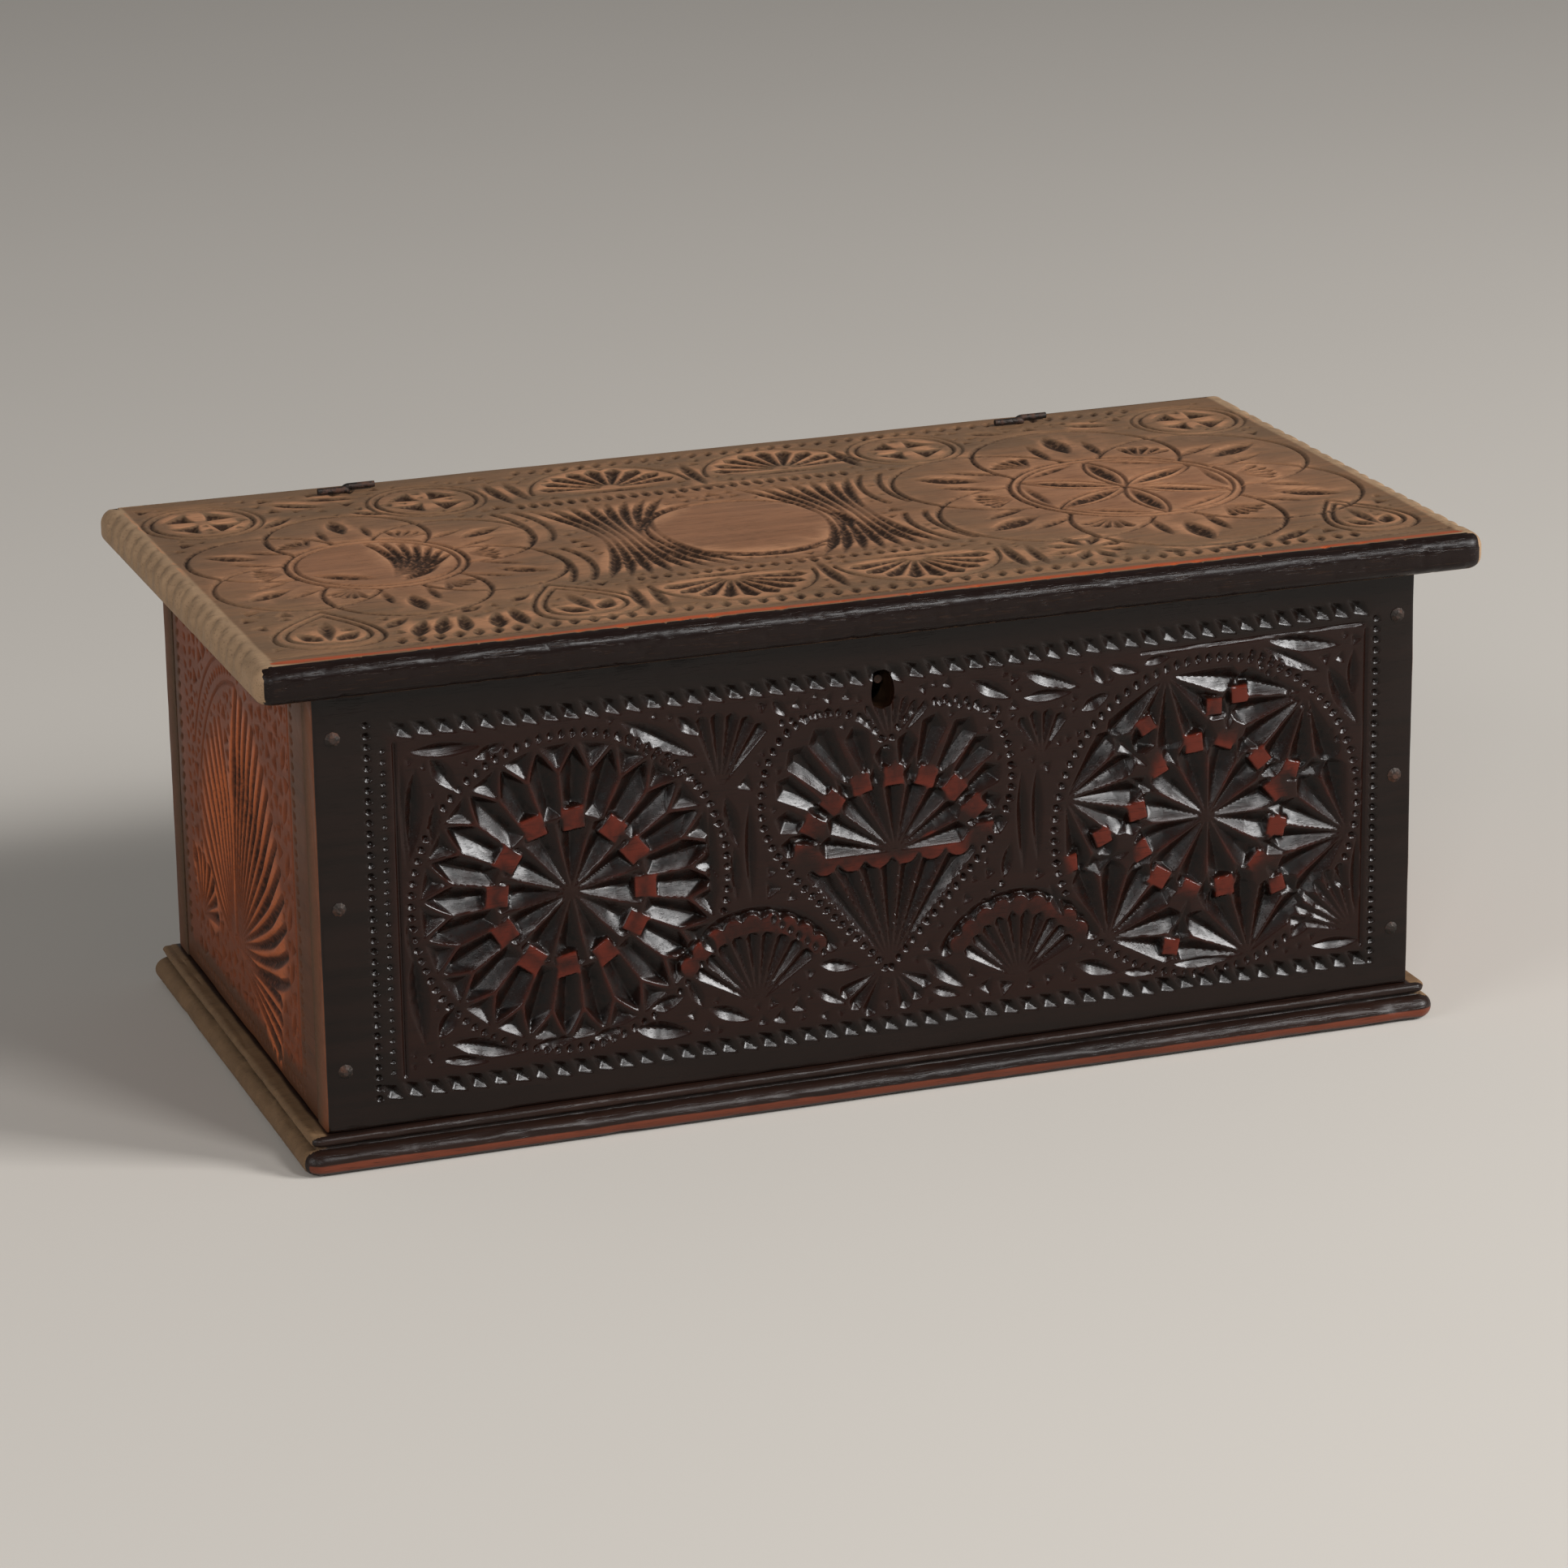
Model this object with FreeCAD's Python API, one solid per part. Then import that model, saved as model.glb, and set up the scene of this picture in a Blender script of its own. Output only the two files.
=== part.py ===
"""Boarded box: six nailed boards, a lid on two pairs of wire snipes, and an iron lock.

Millimetres, +X right, +Y back, +Z up. The origin is the middle of the bottom board's underside.
"""
import FreeCAD, Part
import math
import os

V = FreeCAD.Vector
RIGHT = V(1, 0, 0)
BACK = V(0, 1, 0)
UP = V(0, 0, 1)

# Case: front and back run the full width, the ends stand between them
case_width = 418.0
case_depth = 218.0
case_height = 162.0
front_thickness = 14.0
back_thickness = 14.0
end_thickness = 14.0

# Bottom board: a bullnose, a quirk groove and a bead on the front and the ends
bottom_thickness = 14.0
bottom_end_overhang = 10.0
bottom_front_overhang = 6.0
bottom_corner_radius = 7.0
bullnose_height = 9.0
quirk_height = 1.5
quirk_inset = 5.0
bead_inset = 3.0
moulding_round_share = 0.48
upper_corner_share = 0.5

# Lid: one board, rounded on the front and the ends, flush with the back
lid_thickness = 13.5
lid_end_overhang = 22.0
lid_front_overhang = 14.0
lid_corner_radius = 7.0
lid_top_round = 5.5
lid_under_round = 4.5

# Carving: V cuts with pointed ends, side by side in fans or apart in rings of leaves
front_cut_depth = 3.4
lid_cut_depth = 1.8
cut_depth_share = 0.4
cut_lift_share = 0.05
fan_room_share = 0.9
fan_peak_share = 0.8
leaf_peak_share = 0.5

# Places of the carved figures, as shares of the board's width and height
left_rosette_shares = (-0.282, 0.483)
right_rosette_shares = (0.303, 0.469)
heart_shares = (0.010, 0.482)
heart_point_shares = (0.005, 0.216)
left_shell_shares = (-0.117, 0.167)
right_shell_shares = (0.124, 0.142)
left_figure_shares = (-0.337, 0.013)
right_figure_shares = (0.297, -0.002)
medallion_shares = (-0.032, 0.004)
left_sheaf_shares = (-0.130, 0.013)
right_sheaf_shares = (0.058, 0.013)
round_place_shares = ((-0.433, 0.358), (-0.247, 0.353), (0.173, 0.362), (0.433, 0.362))

# Fans: place, inner and outer radius as shares of the height, first and last angle, number of cuts
front_fan_shares = (
    (left_rosette_shares, 0.003, 0.191, 12, 372, 12),
    (left_rosette_shares, 0.198, 0.321, 4.5, 364.5, 24),
    (right_rosette_shares, 0.003, 0.191, 2, 362, 12),
    (heart_shares, 0.006, 0.185, 0, 180, 9),
    (heart_shares, 0.210, 0.321, 21, 71, 4),
    (heart_shares, 0.210, 0.321, 109, 159, 4),
    (heart_point_shares, 0.012, 0.250, 49.4, 130.6, 7),
    (left_shell_shares, 0.018, 0.179, 34, 152, 9),
    (right_shell_shares, 0.018, 0.167, 26, 152, 10),
)
lid_fan_shares = (
    (left_sheaf_shares, 0.026, 0.207, 62, 128, 6),
    (left_sheaf_shares, 0.026, 0.224, 232, 298, 6),
    (right_sheaf_shares, 0.026, 0.207, 52, 118, 6),
    (right_sheaf_shares, 0.026, 0.224, 242, 308, 6),
    ((-0.093, 0.319), 0.017, 0.121, 4, 176, 9),
    ((0.058, 0.323), 0.017, 0.121, 4, 176, 9),
    ((-0.093, -0.267), 0.017, 0.121, 184, 356, 9),
    ((0.058, -0.272), 0.017, 0.121, 184, 356, 9),
)

# Fans that open inwards from a ring round the right rosette
rosette_ring_share = 0.358
rosette_fan_share = 0.160
rosette_fan_turns = (47, 107, 167, 227, 287, 347)
rosette_fan_spread = 60
rosette_fan_count = 5

# Leaves all round a place: inner and outer radius, number of leaves, width as a share of the length
lid_leaf_shares = (
    (left_figure_shares, 0.185, 0.284, 6, 0.34),
    (right_figure_shares, 0.228, 0.359, 6, 0.34),
    (right_figure_shares, 0.009, 0.168, 6, 0.22),
)
round_leaf_shares = (0.013, 0.065, 4, 0.6)

# Circles, and petals that run behind a circle: its radius, then their own radius and distance
lid_groove_width = 2.6
lid_ring_shares = ((left_figure_shares, 0.142), (right_figure_shares, 0.190), (medallion_shares, 0.157))
round_ring_share = 0.082
lid_petal_shares = ((left_figure_shares, 0.142, 0.129, 0.172), (right_figure_shares, 0.190, 0.172, 0.211))
petal_turns = (30, 90, 150, 210, 270, 330)

# Wire snipes: an eye with two legs driven through the board and clinched
hinge_inset = 71.0
snipe_wire_diameter = 2.4
snipe_leg_gap = 0.4
snipe_eye_clearance = 0.4
snipe_neck_radius = 1.6
snipe_bend_radius = 1.6
snipe_clinch_length = 10.0
snipe_clinch_gap = 0.05
snipe_hole_clearance = 0.35
snipe_stand_off = 0.4
snipe_slope_degrees = 45.0

# Wrought nails that hold the boards
board_nail_head_radius = 2.9
board_nail_head_height = 1.2
board_nail_width = 2.6
board_nail_length = 38.0
bottom_nail_sink = 1.6
nail_head_top_share = 0.45
nail_tip_share = 0.35
corner_nail_height_shares = (0.14, 0.51, 0.89)
bottom_nail_width_shares = (-0.36, -0.12, 0.12, 0.36)
bottom_nail_depth_shares = (-0.18, 0.23)

# Keyhole
keyhole_width = 9.6
keyhole_height = 14.6
keyhole_drop = 23.0

# Lock plate and the small nails of the lock and the staple
lock_plate_above_pin = 16.5
lock_plate_below_pin = 37.5
lock_plate_thickness = 1.6
lock_nail_edge = 2.1
lock_nail_rise = 6.0
lock_nail_head_radius = 2.4
lock_nail_head_height = 0.9
lock_nail_width = 2.0
lock_nail_length = 10.0

# Lock cap: a bridge over the bolt that carries the key pin
lock_room = 12.4
cap_end_room = 5.6
cap_above_pin = 15.0
cap_below_pin = 11.0
cap_thickness = 1.4
cap_foot = 9.0
rivet_radius = 1.5
rivet_head_radius = 2.6
rivet_head_height = 1.0
rivet_spread_share = 0.25
key_pin_radius = 1.5
key_pin_recess = 5.0
key_pin_head_radius = 2.6
key_pin_head_height = 0.8

# Bolt, its guides and its spring
bolt_throw = 9.0
bolt_tail_room = 4.6
bolt_height = 7.5
bolt_thickness = 4.8
bolt_over_pin = 5.0
bolt_clearance = 0.25
bolt_talon_width = 8.0
bolt_talon_depth = 2.6
bolt_talon_offset = -1.0
guide_width = 4.0
guide_wall = 1.4
guide_place_shares = (0.34, 0.82)
spring_thickness = 0.7
spring_clearance = 0.3
spring_foot_length = 6.0
spring_blade_length = 18.0
spring_tip_length = 7.0
spring_end_room = 1.6
spring_lift = 2.0

# Staple under the lid
staple_offset = 17.0
staple_width = 3.0
staple_leg = 2.0
staple_eye_clearance = 0.5
staple_front_gap = 1.7
staple_tip_gap = 1.5
staple_bar = 2.2
staple_plate_length = 42.0
staple_plate_depth = 14.0
staple_plate_thickness = 1.6
staple_nail_spread = 34.0

# Modelling values
overrun = 5.0
tolerance = 0.0001

# Places worked out from the sizes above
half_case = case_width / 2
half_bottom = half_case + bottom_end_overhang
half_lid = half_case + lid_end_overhang
bottom_front = -(case_depth + bottom_front_overhang) / 2
case_back = bottom_front + bottom_front_overhang + case_depth
case_front = case_back - case_depth
case_top = bottom_thickness + case_height
front_inside = case_front + front_thickness
back_inside = case_back - back_thickness
end_inside = half_case - end_thickness
end_middle = half_case - end_thickness / 2
lid_top = case_top + lid_thickness
lid_width = 2 * half_lid
lid_depth = case_depth + lid_front_overhang
lid_middle = case_back - lid_depth / 2

wire_radius = snipe_wire_diameter / 2
leg_offset = wire_radius + snipe_leg_gap / 2
eye_radius = snipe_wire_diameter + snipe_eye_clearance
neck_reach = math.sqrt((eye_radius + snipe_neck_radius) ** 2 - (leg_offset + snipe_neck_radius) ** 2)
slope = math.radians(snipe_slope_degrees)
hinge_offset = (eye_radius + neck_reach + wire_radius + snipe_stand_off) * math.cos(slope)
shank_hole_radius = leg_offset + wire_radius + snipe_hole_clearance

keyhole_radius = keyhole_width / 2
keyhole_top = case_top - keyhole_drop + keyhole_height / 2
keyhole_bottom = keyhole_top - keyhole_height
pin_height = keyhole_top - keyhole_radius
plate_back = front_inside + lock_plate_thickness
bolt_tip = staple_offset - staple_width / 2 - staple_tip_gap
cap_half_inside = bolt_tip + bolt_throw + cap_end_room
cap_half_width = cap_half_inside + cap_thickness
cap_half_span = cap_half_width + cap_foot
lock_nail_place = cap_half_span + lock_nail_edge + lock_nail_head_radius
half_plate = lock_nail_place + lock_nail_head_radius + lock_nail_edge
plate_top = pin_height + lock_plate_above_pin
plate_bottom = pin_height - lock_plate_below_pin
cap_inside = plate_back + lock_room
cap_back = cap_inside + cap_thickness
cap_top = pin_height + cap_above_pin
cap_bottom = pin_height - cap_below_pin

staple_front = plate_back + staple_front_gap
bolt_front = staple_front + staple_leg + staple_eye_clearance
bolt_back = bolt_front + bolt_thickness
staple_back = bolt_back + staple_eye_clearance + staple_leg
staple_middle = (staple_front + staple_back) / 2
bolt_bottom = pin_height + bolt_over_pin
bolt_top = bolt_bottom + bolt_height
bolt_tail = bolt_tail_room - cap_half_inside
bolt_length = bolt_tip - bolt_tail
spring_start = spring_end_room - cap_half_inside
staple_plate_bottom = case_top - staple_plate_thickness


def block(low, high):
    """Box between two corners."""
    size = high.sub(low)
    return Part.makeBox(size.x, size.y, size.z, low)


def rod(radius, start, end):
    """Cylinder from one point to another."""
    run = end.sub(start)
    return Part.makeCylinder(radius, run.Length, start, run)


def prism(points, run):
    """Polygon pushed along a vector."""
    return Part.Face(Part.makePolygon(points + points[:1])).extrude(run)


def line(start, end):
    return Part.LineSegment(start, end).toShape()


def arc(start, middle, end):
    return Part.Arc(start, middle, end).toShape()


def unit(vector):
    return vector.multiply(1 / vector.Length)


def front_rounded_slab(half_width, front, corner, low, height):
    """Slab that ends flush with the case's back and has its two front corners rounded."""
    cut_in = corner * (1 - math.sqrt(0.5))
    left_back = V(-half_width, case_back, low)
    right_back = V(half_width, case_back, low)
    right_side = V(half_width, front + corner, low)
    right_arc = V(half_width - cut_in, front + cut_in, low)
    right_front = V(half_width - corner, front, low)
    left_front = V(corner - half_width, front, low)
    left_arc = V(cut_in - half_width, front + cut_in, low)
    left_side = V(-half_width, front + corner, low)
    outline = Part.Wire([
        line(left_back, right_back),
        line(right_back, right_side),
        arc(right_side, right_arc, right_front),
        line(right_front, left_front),
        arc(left_front, left_arc, left_side),
        line(left_side, left_back),
    ])
    return Part.Face(outline).extrude(UP * height)


def round_rim(slab, level, radius):
    """Round a slab's edges at one level, all but the back one."""
    rim = []
    for edge in slab.Edges:
        box = edge.BoundBox
        if abs(box.ZMin - level) < tolerance and abs(box.ZMax - level) < tolerance:
            if box.YMin < case_back - tolerance:
                rim.append(edge)
    return slab.makeFillet(radius, rim)


def nail(point, direction, head_radius, head_height, width, length):
    """Wrought nail: its head's underside is at the point, and it is driven along the direction."""
    top_radius = head_radius * nail_head_top_share
    tip = width * nail_tip_share / 2
    half = width / 2
    head = Part.makeCone(top_radius, head_radius, head_height, V(0, -head_height, 0), BACK)
    shank = Part.makeWedge(-half, 0, -half, -tip, -tip, half, length, half, tip, tip)
    shape = head.fuse(shank)
    shape.Placement = FreeCAD.Placement(point, FreeCAD.Rotation(BACK, direction))
    return shape


def board_nail(point, direction):
    return nail(point, direction, board_nail_head_radius, board_nail_head_height,
                board_nail_width, board_nail_length)


def lock_nail(point, direction):
    return nail(point, direction, lock_nail_head_radius, lock_nail_head_height,
                lock_nail_width, lock_nail_length)


def corner_nails(face, direction):
    """Nails through the front or the back board into both end boards."""
    nails = []
    for side in (-1, 1):
        for share in corner_nail_height_shares:
            place = V(side * end_middle, face, bottom_thickness + share * case_height)
            nails.append(board_nail(place, direction))
    return nails


def polar(centre, radius, degrees):
    """Point round a centre on a carved face, whose own plane has X across, Y up and Z outwards."""
    turn = math.radians(degrees)
    return centre + V(math.cos(turn), math.sin(turn), 0) * radius


def v_cut(start, end, width, deepest, peak_share):
    """Pyramid that leaves a V cut with two pointed ends, widest and deepest at its peak."""
    run = end - start
    peak = start + run * peak_share
    beside = UP.cross(run) * (width / 2 / run.Length)
    depth = min(width * cut_depth_share, deepest)
    lift = UP * (depth * cut_lift_share)
    rim = [peak + (corner - peak) * (1 + cut_lift_share) + lift
           for corner in (start, peak - beside, end, peak + beside)]
    bottom = peak - UP * depth
    faces = [Part.Face(Part.makePolygon(rim + rim[:1]))]
    for near, far in zip(rim, rim[1:] + rim[:1]):
        faces.append(Part.Face(Part.makePolygon([near, far, bottom, near])))
    return Part.Solid(Part.Shell(faces))


def fan_cuts(centre, inner, outer, first, last, count, deepest):
    """V cuts side by side that widen from an apex."""
    step = (last - first) / count
    peak_radius = inner + (outer - inner) * fan_peak_share
    width = 2 * peak_radius * math.tan(math.radians(step / 2)) * fan_room_share
    cuts = []
    for number in range(count):
        turn = first + step * (number + 1 / 2)
        start, end = polar(centre, inner, turn), polar(centre, outer, turn)
        cuts.append(v_cut(start, end, width, deepest, fan_peak_share))
    return cuts


def leaf_cuts(centre, inner, outer, count, width_share, deepest):
    """V cuts apart from each other all round a centre."""
    step = 360 / count
    cuts = []
    for number in range(count):
        turn = step * (number + 1 / 2)
        start, end = polar(centre, inner, turn), polar(centre, outer, turn)
        cuts.append(v_cut(start, end, (outer - inner) * width_share, deepest, leaf_peak_share))
    return cuts


def ring_cut(centre, radius, first, sweep):
    """V groove along a circle or a part of one."""
    depth = lid_groove_width / 2
    lift = depth * cut_lift_share
    rim = depth + lift
    corners = [V(radius - rim, 0, lift), V(radius + rim, 0, lift), V(radius, 0, -depth)]
    groove = Part.Face(Part.makePolygon(corners + corners[:1])).revolve(V(0, 0, 0), UP, sweep)
    groove.Placement = FreeCAD.Placement(centre, FreeCAD.Rotation(UP, first))
    return groove


def place_at(shares, width, height):
    """Place of a figure on a board's face."""
    across, up = shares
    return V(across * width, up * height, 0)


def front_carving():
    """Rosettes, heart and shells of the front, as cuts at its outer face."""
    cuts = []
    for place, inner, outer, first, last, count in front_fan_shares:
        centre = place_at(place, case_width, case_height)
        cuts += fan_cuts(centre, inner * case_height, outer * case_height, first, last, count, front_cut_depth)
    rosette = place_at(right_rosette_shares, case_width, case_height)
    for turn in rosette_fan_turns:
        apex = polar(rosette, rosette_ring_share * case_height, turn)
        inwards = turn + 180
        cuts += fan_cuts(apex, 0, rosette_fan_share * case_height, inwards - rosette_fan_spread,
                         inwards + rosette_fan_spread, rosette_fan_count, front_cut_depth)
    for cut in cuts:
        cut.Placement = FreeCAD.Placement(V(0, case_front, bottom_thickness), FreeCAD.Rotation(RIGHT, 90))
    return cuts


def lid_carving():
    """Circles, leaves, sheaves and fans of the lid, as cuts at its top face."""
    leaves = list(lid_leaf_shares) + [(place, *round_leaf_shares) for place in round_place_shares]
    rings = list(lid_ring_shares) + [(place, round_ring_share) for place in round_place_shares]
    cuts = []
    for place, inner, outer, first, last, count in lid_fan_shares:
        centre = place_at(place, lid_width, lid_depth)
        cuts += fan_cuts(centre, inner * lid_depth, outer * lid_depth, first, last, count, lid_cut_depth)
    for place, inner, outer, count, width_share in leaves:
        centre = place_at(place, lid_width, lid_depth)
        cuts += leaf_cuts(centre, inner * lid_depth, outer * lid_depth, count, width_share, lid_cut_depth)
    for place, radius in rings:
        cuts.append(ring_cut(place_at(place, lid_width, lid_depth), radius * lid_depth, 0, 360))
    for place, ring, radius, distance in lid_petal_shares:
        centre = place_at(place, lid_width, lid_depth)
        reach = (distance ** 2 + radius ** 2 - ring ** 2) / (2 * distance * radius)
        hidden = math.degrees(math.acos(reach))
        for turn in petal_turns:
            middle = polar(centre, distance * lid_depth, turn)
            cuts.append(ring_cut(middle, radius * lid_depth, turn + 180 + hidden, 360 - 2 * hidden))
    top = FreeCAD.Placement(V(0, lid_middle, lid_top), FreeCAD.Rotation())
    for cut in cuts:
        cut.Placement = top.multiply(cut.Placement)
    return cuts


def carved(board, cuts):
    """Board with its cuts taken out one after another."""
    for cut in cuts:
        board = board.cut(cut)
    return board


def bottom_nail_places():
    """Where nails come up through the bottom board into the four walls."""
    front_row = case_front + front_thickness / 2
    back_row = case_back - back_thickness / 2
    places = []
    for share in bottom_nail_width_shares:
        places.append(V(share * case_width, front_row, bottom_nail_sink))
        places.append(V(share * case_width, back_row, bottom_nail_sink))
    for share in bottom_nail_depth_shares:
        for side in (-1, 1):
            places.append(V(side * end_middle, share * case_depth, bottom_nail_sink))
    return places


def keyhole_cut(near, far):
    """Upright slot with round ends, from one depth to another."""
    low = keyhole_bottom + keyhole_radius
    right_low = V(keyhole_radius, near, low)
    right_high = V(keyhole_radius, near, pin_height)
    left_high = V(-keyhole_radius, near, pin_height)
    left_low = V(-keyhole_radius, near, low)
    outline = Part.Wire([
        line(right_low, right_high),
        arc(right_high, V(0, near, keyhole_top), left_high),
        line(left_high, left_low),
        arc(left_low, V(0, near, keyhole_bottom), right_low),
    ])
    return Part.Face(outline).extrude(BACK * (far - near))


def snipe_path(eye, shank, side, face_normal, face_level):
    """Middle line of a snipe, from the end of its right leg round the eye to the end of its left leg."""
    crest = face_level + wire_radius + snipe_clinch_gap
    halves = []
    for sign in (1, -1):
        beside = eye + side * (sign * leg_offset)
        out = RIGHT * sign
        reach = (crest - beside.dot(face_normal)) / shank.dot(face_normal)
        bend_start = beside + shank * (reach - snipe_bend_radius)
        bend_centre = bend_start + out * snipe_bend_radius
        bend_middle = bend_centre + unit(shank - out) * snipe_bend_radius
        bend_end = bend_centre + shank * snipe_bend_radius
        leg_end = bend_end + out * snipe_clinch_length
        neck_end = beside + shank * neck_reach
        neck_centre = neck_end + side * (sign * snipe_neck_radius)
        inward = unit(eye - neck_centre)
        neck_start = neck_centre + inward * snipe_neck_radius
        neck_middle = neck_centre + unit(inward - side * sign) * snipe_neck_radius
        halves.append([
            (leg_end, bend_end),
            (bend_end, bend_middle, bend_start),
            (bend_start, neck_end),
            (neck_end, neck_middle, neck_start),
        ])
    first, second = halves
    ring = (first[-1][-1], eye - shank * eye_radius, second[-1][-1])
    runs = first + [ring] + [run[::-1] for run in reversed(second)]
    return [line(*run) if len(run) == 2 else arc(*run) for run in runs], first[0][0]


def snipe(eye, shank, side, face_normal, face_level):
    """Round wire along the snipe's middle line."""
    edges, start = snipe_path(eye, shank, side, face_normal, face_level)
    ring = Part.Wire([Part.makeCircle(wire_radius, start, RIGHT)])
    return Part.Wire(edges).makePipeShell([ring], True, False)


def hinge_axis(side):
    return V(side * (half_case - hinge_inset), case_back + hinge_offset, case_top)


# Directions in which the legs are driven: down into the back board, up into the lid
case_shank = V(0, -math.cos(slope), -math.sin(slope))
lid_shank = V(0, -math.cos(slope), math.sin(slope))
lid_eye_side = V(0, math.sin(slope), math.cos(slope))
shank_reach = (back_thickness + lid_thickness + hinge_offset) / math.cos(slope)


def case_snipe(side):
    eye = hinge_axis(side) + case_shank * eye_radius
    return snipe(eye, case_shank, RIGHT, -BACK, -back_inside)


def lid_snipe(side):
    return snipe(hinge_axis(side), lid_shank, lid_eye_side, UP, lid_top)


def shank_hole(side, shank):
    axis = hinge_axis(side)
    return rod(shank_hole_radius, axis, axis + shank * shank_reach)


def front_board(nails):
    low = V(-half_case, case_front, bottom_thickness)
    board = block(low, V(half_case, front_inside, case_top))
    keyhole = keyhole_cut(case_front - overrun, front_inside + overrun)
    return carved(board.cut([keyhole] + nails), front_carving())


def back_board(nails):
    low = V(-half_case, back_inside, bottom_thickness)
    board = block(low, V(half_case, case_back, case_top))
    holes = [shank_hole(side, case_shank) for side in (-1, 1)]
    return board.cut(holes + nails)


def end_board(side, nails):
    near = min(side * end_inside, side * half_case)
    far = max(side * end_inside, side * half_case)
    board = block(V(near, front_inside, bottom_thickness), V(far, back_inside, case_top))
    return board.cut(nails)


def bottom_board(nails):
    """Moulded board, with its nail heads let into the underside."""
    quirk_level = bullnose_height + quirk_height
    bead_height = bottom_thickness - quirk_level
    upper_corner = bottom_corner_radius * upper_corner_share
    bullnose = front_rounded_slab(half_bottom, bottom_front, bottom_corner_radius, 0, bullnose_height)
    for level in (0, bullnose_height):
        bullnose = round_rim(bullnose, level, bullnose_height * moulding_round_share)
    quirk = front_rounded_slab(half_bottom - quirk_inset, bottom_front + quirk_inset, upper_corner,
                               bullnose_height, quirk_height)
    bead = front_rounded_slab(half_bottom - bead_inset, bottom_front + bead_inset, upper_corner,
                              quirk_level, bead_height)
    for level in (quirk_level, bottom_thickness):
        bead = round_rim(bead, level, bead_height * moulding_round_share)
    board = bullnose.fuse([quirk, bead]).removeSplitter()
    seats = [rod(board_nail_head_radius, V(place.x, place.y, 0), place) for place in bottom_nail_places()]
    return board.cut(seats + nails)


def lid_board(nails):
    lid = front_rounded_slab(half_lid, case_front - lid_front_overhang, lid_corner_radius,
                             case_top, lid_thickness)
    lid = round_rim(lid, lid_top, lid_top_round)
    lid = round_rim(lid, case_top, lid_under_round)
    holes = [shank_hole(side, lid_shank) for side in (-1, 1)]
    return carved(lid.cut(holes + nails), lid_carving())


def lock_plate(nails, rivets):
    plate = block(V(-half_plate, front_inside, plate_bottom), V(half_plate, plate_back, plate_top))
    keyhole = keyhole_cut(front_inside - overrun, plate_back + overrun)
    return plate.cut([keyhole] + nails + rivets)


def lock_nails():
    """Four nails from the inside of the box, through the lock plate into the front board."""
    nails = []
    for side in (-1, 1):
        for height in (plate_bottom + lock_nail_rise, plate_top - lock_nail_rise):
            place = V(side * lock_nail_place, plate_back, height)
            nails.append(lock_nail(place, -BACK))
    return nails


def cap_rivets():
    """Rivets through the feet of the cap and the lock plate."""
    middle = (cap_top + cap_bottom) / 2
    spread = (cap_top - cap_bottom) * rivet_spread_share
    foot_back = plate_back + cap_thickness
    rivets = []
    for side in (-1, 1):
        for height in (middle - spread, middle + spread):
            centre = V(side * (cap_half_width + cap_foot / 2), front_inside, height)
            seat = V(centre.x, foot_back, height)
            shank = rod(rivet_radius, centre, seat)
            head = rod(rivet_head_radius, seat, seat + BACK * rivet_head_height)
            rivets.append(shank.fuse(head))
    return rivets


def key_pin():
    """Pin that a pipe key turns on, riveted into the cap."""
    tip = V(0, case_front + key_pin_recess, pin_height)
    seat = V(0, cap_back, pin_height)
    head = rod(key_pin_head_radius, seat, seat + BACK * key_pin_head_height)
    return rod(key_pin_radius, tip, seat).fuse(head)


def lock_cap(pin, rivets):
    """Strap bent into a bridge, with a foot at each end."""
    foot_back = plate_back + cap_thickness
    right_half = [
        (cap_half_inside, cap_inside),
        (cap_half_inside, plate_back),
        (cap_half_span, plate_back),
        (cap_half_span, foot_back),
        (cap_half_width, foot_back),
        (cap_half_width, cap_back),
    ]
    outline = [V(x, y, cap_bottom) for x, y in right_half]
    outline += [V(-x, y, cap_bottom) for x, y in reversed(right_half)]
    strap = prism(outline, UP * (cap_top - cap_bottom))
    return strap.cut([pin] + rivets)


def lock_bolt():
    """Bar with a notch in its lower edge for the key's bit."""
    bar = block(V(bolt_tail, bolt_front, bolt_bottom), V(bolt_tip, bolt_back, bolt_top))
    talon_start = bolt_talon_offset - bolt_talon_width / 2
    talon_low = V(talon_start, bolt_front - overrun, bolt_bottom - overrun)
    talon_high = V(talon_start + bolt_talon_width, bolt_back + overrun, bolt_bottom + bolt_talon_depth)
    return bar.cut(block(talon_low, talon_high))


def bolt_guides():
    """Two straps on the lock plate that the bolt slides through."""
    guides = []
    for share in guide_place_shares:
        near = bolt_tail + share * bolt_length - guide_width / 2
        far = near + guide_width
        room = bolt_clearance + guide_wall
        strap = block(V(near, plate_back, bolt_bottom - room), V(far, bolt_back + room, bolt_top + room))
        window = block(V(near - overrun, bolt_front - bolt_clearance, bolt_bottom - bolt_clearance),
                       V(far + overrun, bolt_back + bolt_clearance, bolt_top + bolt_clearance))
        guides.append(strap.cut(window))
    return guides


def bolt_spring():
    """Leaf spring: a foot on the lock plate, a blade over the bolt and a tip bent down to it."""
    foot_end = spring_start + spring_foot_length
    blade_end = spring_start + spring_blade_length
    tip_end = blade_end + spring_tip_length
    blade_low = bolt_top + spring_lift
    tip_low = bolt_top + spring_clearance
    blade = prism([
        V(spring_start, bolt_front, blade_low),
        V(blade_end, bolt_front, blade_low),
        V(tip_end, bolt_front, tip_low),
        V(tip_end, bolt_front, tip_low + spring_thickness),
        V(blade_end, bolt_front, blade_low + spring_thickness),
        V(spring_start, bolt_front, blade_low + spring_thickness),
    ], BACK * bolt_thickness)
    foot_high = V(foot_end, bolt_front, blade_low + spring_thickness)
    foot = block(V(spring_start, plate_back, blade_low), foot_high)
    return blade.fuse(foot).removeSplitter()


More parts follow.
